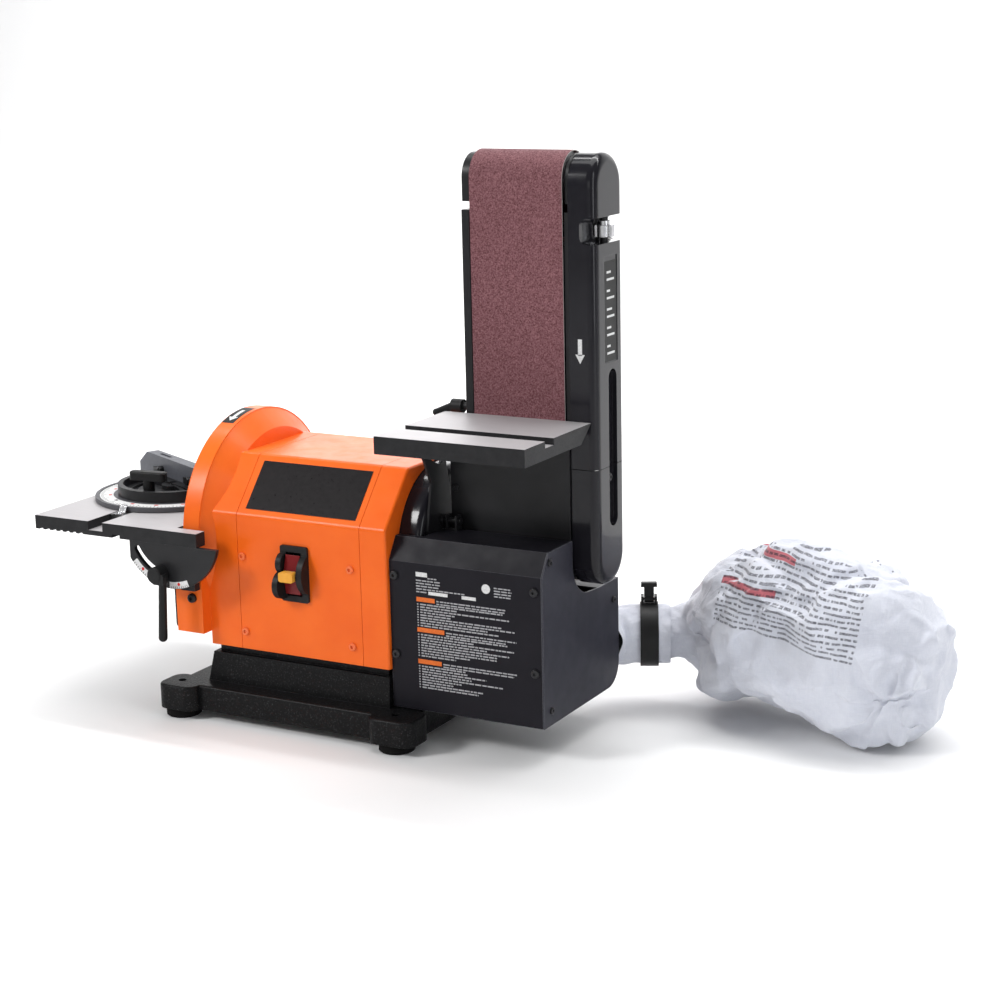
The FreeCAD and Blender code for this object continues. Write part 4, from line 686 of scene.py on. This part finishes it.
def add_bag_print(g, cloth):
    """Dashes of ink in a slanted block on the bag's upper front."""
    lo, hi = low("dust_bag"), high("dust_bag")
    corner_x = lo.x + 92 * MM
    corner_z = hi.z - 84 * MM
    x = g.math("SUBTRACT", g.axis(g.place, 0), corner_x)
    z = g.math("SUBTRACT", g.axis(g.place, 2), corner_z)
    cos_turn, sin_turn = math.cos(PRINT_TURN), math.sin(PRINT_TURN)
    u = g.math("ADD", g.math("MULTIPLY", x, cos_turn), g.math("MULTIPLY", z, sin_turn))
    v = g.math("SUBTRACT", g.math("MULTIPLY", z, cos_turn), g.math("MULTIPLY", x, sin_turn))
    wobble = g.math("MULTIPLY", g.math("SUBTRACT", g.noise(28.0, 2.0), 0.5), 5 * MM)
    v = g.math("ADD", v, wobble)
    rows = g.math("MULTIPLY", v, PRINT_ROWS / PRINT_HEIGHT)
    row_number = g.math("FLOOR", rows)
    in_row = g.math("LESS_THAN", g.math("FRACT", rows), 0.42)
    dash_place = g.nodes.new("ShaderNodeCombineXYZ")
    g.feed(dash_place.inputs[0], g.math("MULTIPLY", u, 330.0))
    g.feed(dash_place.inputs[1], g.math("MULTIPLY", row_number, 7.31))
    dashes = g.nodes.new("ShaderNodeTexNoise")
    dashes.inputs["Scale"].default_value = 1.0
    dashes.inputs["Detail"].default_value = 0.0
    g.links.new(dash_place.outputs[0], dashes.inputs["Vector"])
    letters = g.math("GREATER_THAN", g.noise(1500.0, 1.0), 0.43)
    ink = g.math("MULTIPLY", g.math("GREATER_THAN", dashes.outputs["Fac"], 0.40), letters)
    inside = g.math("MULTIPLY", between(g, u, 0.0, PRINT_WIDTH), between(g, v, 0.0, PRINT_HEIGHT))
    facing = g.math("LESS_THAN", g.axis(g.normal, 1), -0.22)
    inside = g.math("MULTIPLY", inside, facing)
    mask = g.math("MULTIPLY", g.math("MULTIPLY", ink, in_row), inside)
    printed = cloth
    for row, wide in ((7.0, 62 * MM), (12.5, 70 * MM), (15.5, 48 * MM)):
        start = row * PRINT_HEIGHT / PRINT_ROWS
        block = g.math("MULTIPLY", between(g, u, 0.0, wide), between(g, v, start, start + 7 * MM))
        block = g.math("MULTIPLY", block, facing)
        printed = g.blend(g.math("MULTIPLY", block, 0.85), printed, (0.50, 0.055, 0.075))
    return g.blend(g.math("MULTIPLY", mask, 0.88), printed, (0.04, 0.04, 0.055))


def between(g, value, lowest, highest):
    return g.math("MULTIPLY", g.math("GREATER_THAN", value, lowest), g.math("LESS_THAN", value, highest))


def copy_solid(node, name):
    source = NODES[node]
    piece = bpy.data.objects.new(name, source.data.copy())
    bpy.context.scene.collection.objects.link(piece)
    piece.data.materials.clear()
    return piece


def apply_modifier(piece, modifier):
    with bpy.context.temp_override(object=piece, active_object=piece, selected_objects=[piece]):
        bpy.ops.object.modifier_apply(modifier=modifier.name)


def voxel_remesh(piece):
    modifier = piece.modifiers.new("remesh", "REMESH")
    modifier.mode = "VOXEL"
    modifier.voxel_size = BAG_VOXEL
    apply_modifier(piece, modifier)


def shape_bag(piece, neck, knot):
    """Gathers at the neck and folds that run into the tied end."""
    bottom = low("dust_bag").z
    for vertex in piece.data.vertices:
        p = vertex.co
        to_knot = p - knot
        away = to_knot.length
        along = (p - neck).dot(NECK_AXIS)
        outward = (p - (neck + NECK_AXIS * along)).normalized()
        around = math.atan2(outward.z, outward.y)
        push = 3.0 * MM * noise.noise(p * 11.0) * min(max(along / (40 * MM), 0.0), 1.0)
        gather = noise.noise(Vector((math.cos(around) * 2.6, math.sin(around) * 2.6, along * 7.0)))
        near_neck = math.exp(-((along - 34 * MM) / (34 * MM)) ** 2)
        push += near_neck * (10.0 * abs(gather) - 3.0) * MM
        if away < 130 * MM:
            angle = math.atan2(to_knot.z, to_knot.x)
            wander = 1.6 * noise.noise(p * 9.0)
            fold = 1.0 - 2.0 * abs(math.sin(4.5 * angle + wander)) + 0.3 * math.cos(13 * angle)
            window = math.exp(-((away - 42 * MM) / (40 * MM)) ** 2)
            push += fold * 4.0 * MM * window
            push -= 22 * MM * math.exp(-(away / (20 * MM)) ** 2)
        p += outward * push
        p.z = max(p.z, bottom + FLOOR_GAP)


def crumple(piece, neck):
    """Sharp shallow creases between flat patches of cloth, as cotton takes when handled."""
    bottom = low("dust_bag").z
    normals = [vertex.normal.copy() for vertex in piece.data.vertices]
    for vertex, normal in zip(piece.data.vertices, normals):
        p = vertex.co
        q = p + noise.noise_vector(p * 12.0) * (14 * MM)
        push = 0.0
        for k, (scale, depth) in enumerate(CREASES):
            value = noise.noise(q * scale + Vector((5.3 * k, 1.7 * k, 0.0)))
            push += depth * MM * max(1.0 - 2.8 * abs(value), 0.0) ** 1.6
        ease = min(max(((p - neck).length - 26 * MM) / (30 * MM), 0.0), 1.0)
        p += normal * push * ease
        p.z = max(p.z, bottom + FLOOR_GAP)


def inflate(piece, pinned):
    """Cloth run without gravity: extra cloth and a little pressure buckle into creases."""
    start = [vertex.co.copy() for vertex in piece.data.vertices]
    group = piece.vertex_groups.new(name="held")
    for vertex in piece.data.vertices:
        group.add([vertex.index], pinned(vertex.co), "REPLACE")
    modifier = piece.modifiers.new("cloth", "CLOTH")
    settings = modifier.settings
    settings.quality = 6
    settings.mass = 0.25
    settings.tension_stiffness = 18
    settings.compression_stiffness = 18
    settings.shear_stiffness = 8
    settings.bending_stiffness = 0.1
    settings.use_pressure = True
    settings.uniform_pressure_force = 2.5
    settings.shrink_min = -0.07
    settings.vertex_group_mass = group.name
    settings.effector_weights.gravity = 0.0
    modifier.collision_settings.use_collision = False
    modifier.point_cache.frame_start = 1
    modifier.point_cache.frame_end = CLOTH_FRAMES
    scene = bpy.context.scene
    for step in range(1, CLOTH_FRAMES + 1):
        scene.frame_set(step)
    evaluated = piece.evaluated_get(bpy.context.evaluated_depsgraph_get())
    moved = [vertex.co.copy() for vertex in evaluated.data.vertices]
    piece.modifiers.remove(modifier)
    piece.vertex_groups.clear()
    scene.frame_set(1)
    for vertex, before, after in zip(piece.data.vertices, start, moved):
        travel = after - before
        if travel.length > CLOTH_CAP:
            travel *= CLOTH_CAP / travel.length
        vertex.co = before + travel


def make_bag(material):
    bag = copy_solid("dust_bag", "dust_bag_cloth")
    voxel_remesh(bag)
    lo, hi = low("dust_bag"), high("dust_bag")
    neck = Vector((lo.x + 5 * MM, centre("bag_clamp").y + 8 * MM, centre("dust_port").z))
    middle = (lo + hi) / 2
    for vertex in bag.data.vertices:
        factor = min(max((vertex.co.x - neck.x - 0.02) / 0.06, 0.0), 1.0)
        vertex.co += (middle - vertex.co) * SHRINK_BEFORE * factor
    knot = Vector((hi.x - 42 * MM, centre("dust_bag").y - 62 * MM, lo.z + 52 * MM))
    shape_bag(bag, neck, knot)

    def held(p):
        at_neck = (p - neck).length < NECK_HELD
        at_knot = (p - knot).length < KNOT_HELD
        return 1.0 if at_neck or at_knot else 0.0

    inflate(bag, held)
    crumple(bag, neck)
    for vertex in bag.data.vertices:
        vertex.co.z = max(vertex.co.z, lo.z + FLOOR_GAP)
    smooth = bag.modifiers.new("smooth", "SMOOTH")
    smooth.factor = 0.4
    smooth.iterations = 1
    apply_modifier(bag, smooth)
    subdivide = bag.modifiers.new("subdivide", "SUBSURF")
    subdivide.levels = 1
    subdivide.render_levels = 1
    apply_modifier(bag, subdivide)
    bag.data.materials.append(material)
    for polygon in bag.data.polygons:
        polygon.use_smooth = True
    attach(bag, "machine")
    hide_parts("dust_bag")


def sleeve_line(steps):
    """Points along the sleeve: out of the port, round its bend, through the clamp to the bag."""
    port = centre("dust_port")
    out = Vector(JOINTS["clamp_turn"]["axis"]).normalized()
    clamp = centre("bag_clamp")
    height = port.z
    start = Vector((port.x, high("dust_box").y + 2.5 * MM, height))
    end = Vector((clamp.x, clamp.y, height)) + out * 22 * MM
    reach = (end - start).length * 0.42
    a, b = start + Vector((0, 1, 0)) * reach, end - out * reach
    points = []
    for k in range(steps + 1):
        t = k / steps
        s = 1 - t
        points.append(start * s ** 3 + a * 3 * s * s * t + b * 3 * s * t * t + end * t ** 3)
    return points


def make_sleeve(material):
    """Cloth tube with twisted creases, drawn in where the clamp holds it."""
    steps, around = 60, 144
    points = sleeve_line(steps)
    clamp = centre("bag_clamp")
    radius = 31.3 * MM
    bm = bmesh.new()
    rings = []
    for k, point in enumerate(points):
        before = points[max(k - 1, 0)]
        after = points[min(k + 1, steps)]
        along = (after - before).normalized()
        side = along.cross(Vector((0, 0, 1))).normalized()
        up = side.cross(along)
        from_clamp = (Vector((clamp.x, clamp.y, point.z)) - point).length
        free = min(max((from_clamp - 7 * MM) / (14 * MM), 0.0), 1.0)
        t = k / steps
        ring = []
        for j in range(around):
            angle = 2 * math.pi * j / around
            crease = math.sin(5 * angle + 7.0 * t) + 0.6 * math.sin(9 * angle - 11.0 * t + 1.3)
            rumple = noise.noise(Vector((math.cos(angle) * 2.2, math.sin(angle) * 2.2, t * 5.0)))
            r = radius + free * (0.9 * crease + 2.6 * rumple) * MM - free * 0.8 * MM
            ring.append(bm.verts.new(point + (side * math.cos(angle) + up * math.sin(angle)) * r))
        rings.append(ring)
    for a, b in zip(rings, rings[1:]):
        for j in range(around):
            n = (j + 1) % around
            bm.faces.new((a[j], a[n], b[n], b[j]))
    sleeve = mesh_object("sleeve_cloth", bm, material, smooth=True)
    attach(sleeve, "machine")
    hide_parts("bag_sleeve")


# ---------------------------------------------------------------- studio
def area_light(name, at, towards, size, power, colour=(1, 1, 1)):
    light = bpy.data.lights.new(name, "AREA")
    light.shape = "RECTANGLE"
    light.size, light.size_y = size
    light.energy = power
    light.color = colour
    holder = bpy.data.objects.new(name, light)
    bpy.context.scene.collection.objects.link(holder)
    holder.location = at
    holder.rotation_euler = (Vector(towards) - Vector(at)).to_track_quat("-Z", "Y").to_euler()


def make_floor():
    """Floor that curves up into a back wall."""
    half, rise, back, bend = 6.0, 5.0, 4.0, 1.2
    steps = 12
    bm = bmesh.new()
    profile = [(-half, 0.0), (back - bend, 0.0)]
    for k in range(1, steps + 1):
        angle = math.pi / 2 * k / steps
        profile.append((back - bend + bend * math.sin(angle), bend - bend * math.cos(angle)))
    profile.append((back, rise))
    rows = []
    for y, z in profile:
        rows.append([bm.verts.new((x, y, z - 0.2 * MM)) for x in (-half * 2, half * 2)])
    for a, b in zip(rows, rows[1:]):
        bm.faces.new((a[0], a[1], b[1], b[0]))
    g = Graph("studio_floor", roughness=0.7)
    g.colour(g.blend(g.noise(3.0, 2.0), (0.86, 0.86, 0.865), (0.9, 0.9, 0.9)))
    floor = mesh_object("studio_floor", bm, g.material, smooth=True)


def make_lights():
    target = (0.08, 0.0, 0.28)
    area_light("key", (-1.9, -2.3, 2.3), target, (0.9, 0.9), 68)
    area_light("strip_right", (2.3, -0.9, 1.0), target, (0.4, 2.0), 11, (0.94, 0.97, 1.0))
    area_light("front_fill", (0.9, -3.2, 0.9), target, (1.6, 1.2), 6)
    area_light("top", (0.2, 0.3, 2.9), target, (2.0, 2.0), 39)
    area_light("back_rim", (-1.2, 2.4, 1.6), target, (1.2, 1.6), 10)
    area_light("backdrop", (0.0, 1.0, 3.4), (0.0, 4.0, 1.2), (7.0, 0.8), 260)
    world = bpy.data.worlds.new("studio")
    world.use_nodes = True
    background = world.node_tree.nodes["Background"]
    background.inputs["Color"].default_value = (1.0, 1.0, 1.0, 1.0)
    background.inputs["Strength"].default_value = 0.2
    bpy.context.scene.world = world


def make_camera():
    azimuth, elevation = CAMERA_AZIMUTH, CAMERA_ELEVATION
    back = Vector((math.cos(elevation) * math.sin(azimuth), -math.cos(elevation) * math.cos(azimuth),
                   math.sin(elevation)))
    level = Vector((math.cos(azimuth), math.sin(azimuth), 0.0))
    upright = back.cross(level)
    right = level * math.cos(CAMERA_ROLL) + upright * math.sin(CAMERA_ROLL)
    up = back.cross(right)
    data = bpy.data.cameras.new("camera")
    data.lens = CAMERA_LENS
    data.sensor_width = 36.0
    data.clip_end = 60.0
    camera = bpy.data.objects.new("camera", data)
    bpy.context.scene.collection.objects.link(camera)
    camera.matrix_world = Matrix.Translation(CAMERA_AT) @ Matrix((right, up, back)).transposed().to_4x4()
    bpy.context.scene.camera = camera


def main():
    noise.seed_set(3)      # noise_vector starts from the clock without it
    bpy.context.scene.view_settings.view_transform = "Standard"
    finish_nodes()
    white = print_ink("ink_white", (0.78, 0.78, 0.78))
    grey = print_ink("ink_grey", (0.42, 0.42, 0.44))
    orange = print_ink("ink_orange", (0.80, 0.17, 0.03))
    red = print_ink("ink_red", (0.65, 0.03, 0.03))
    black = print_ink("ink_black", (0.02, 0.02, 0.02))
    make_box_label(white, orange, grey)
    make_cover_prints(white, black)
    make_guard_arrow(white, black)
    make_tilt_scales(white, red, black)
    make_gauge_marks(white, black, red)
    make_miter_pointer(bright_knob())
    make_bag(cotton(True))
    make_sleeve(cotton(False))
    make_floor()
    make_lights()
    make_camera()


main()
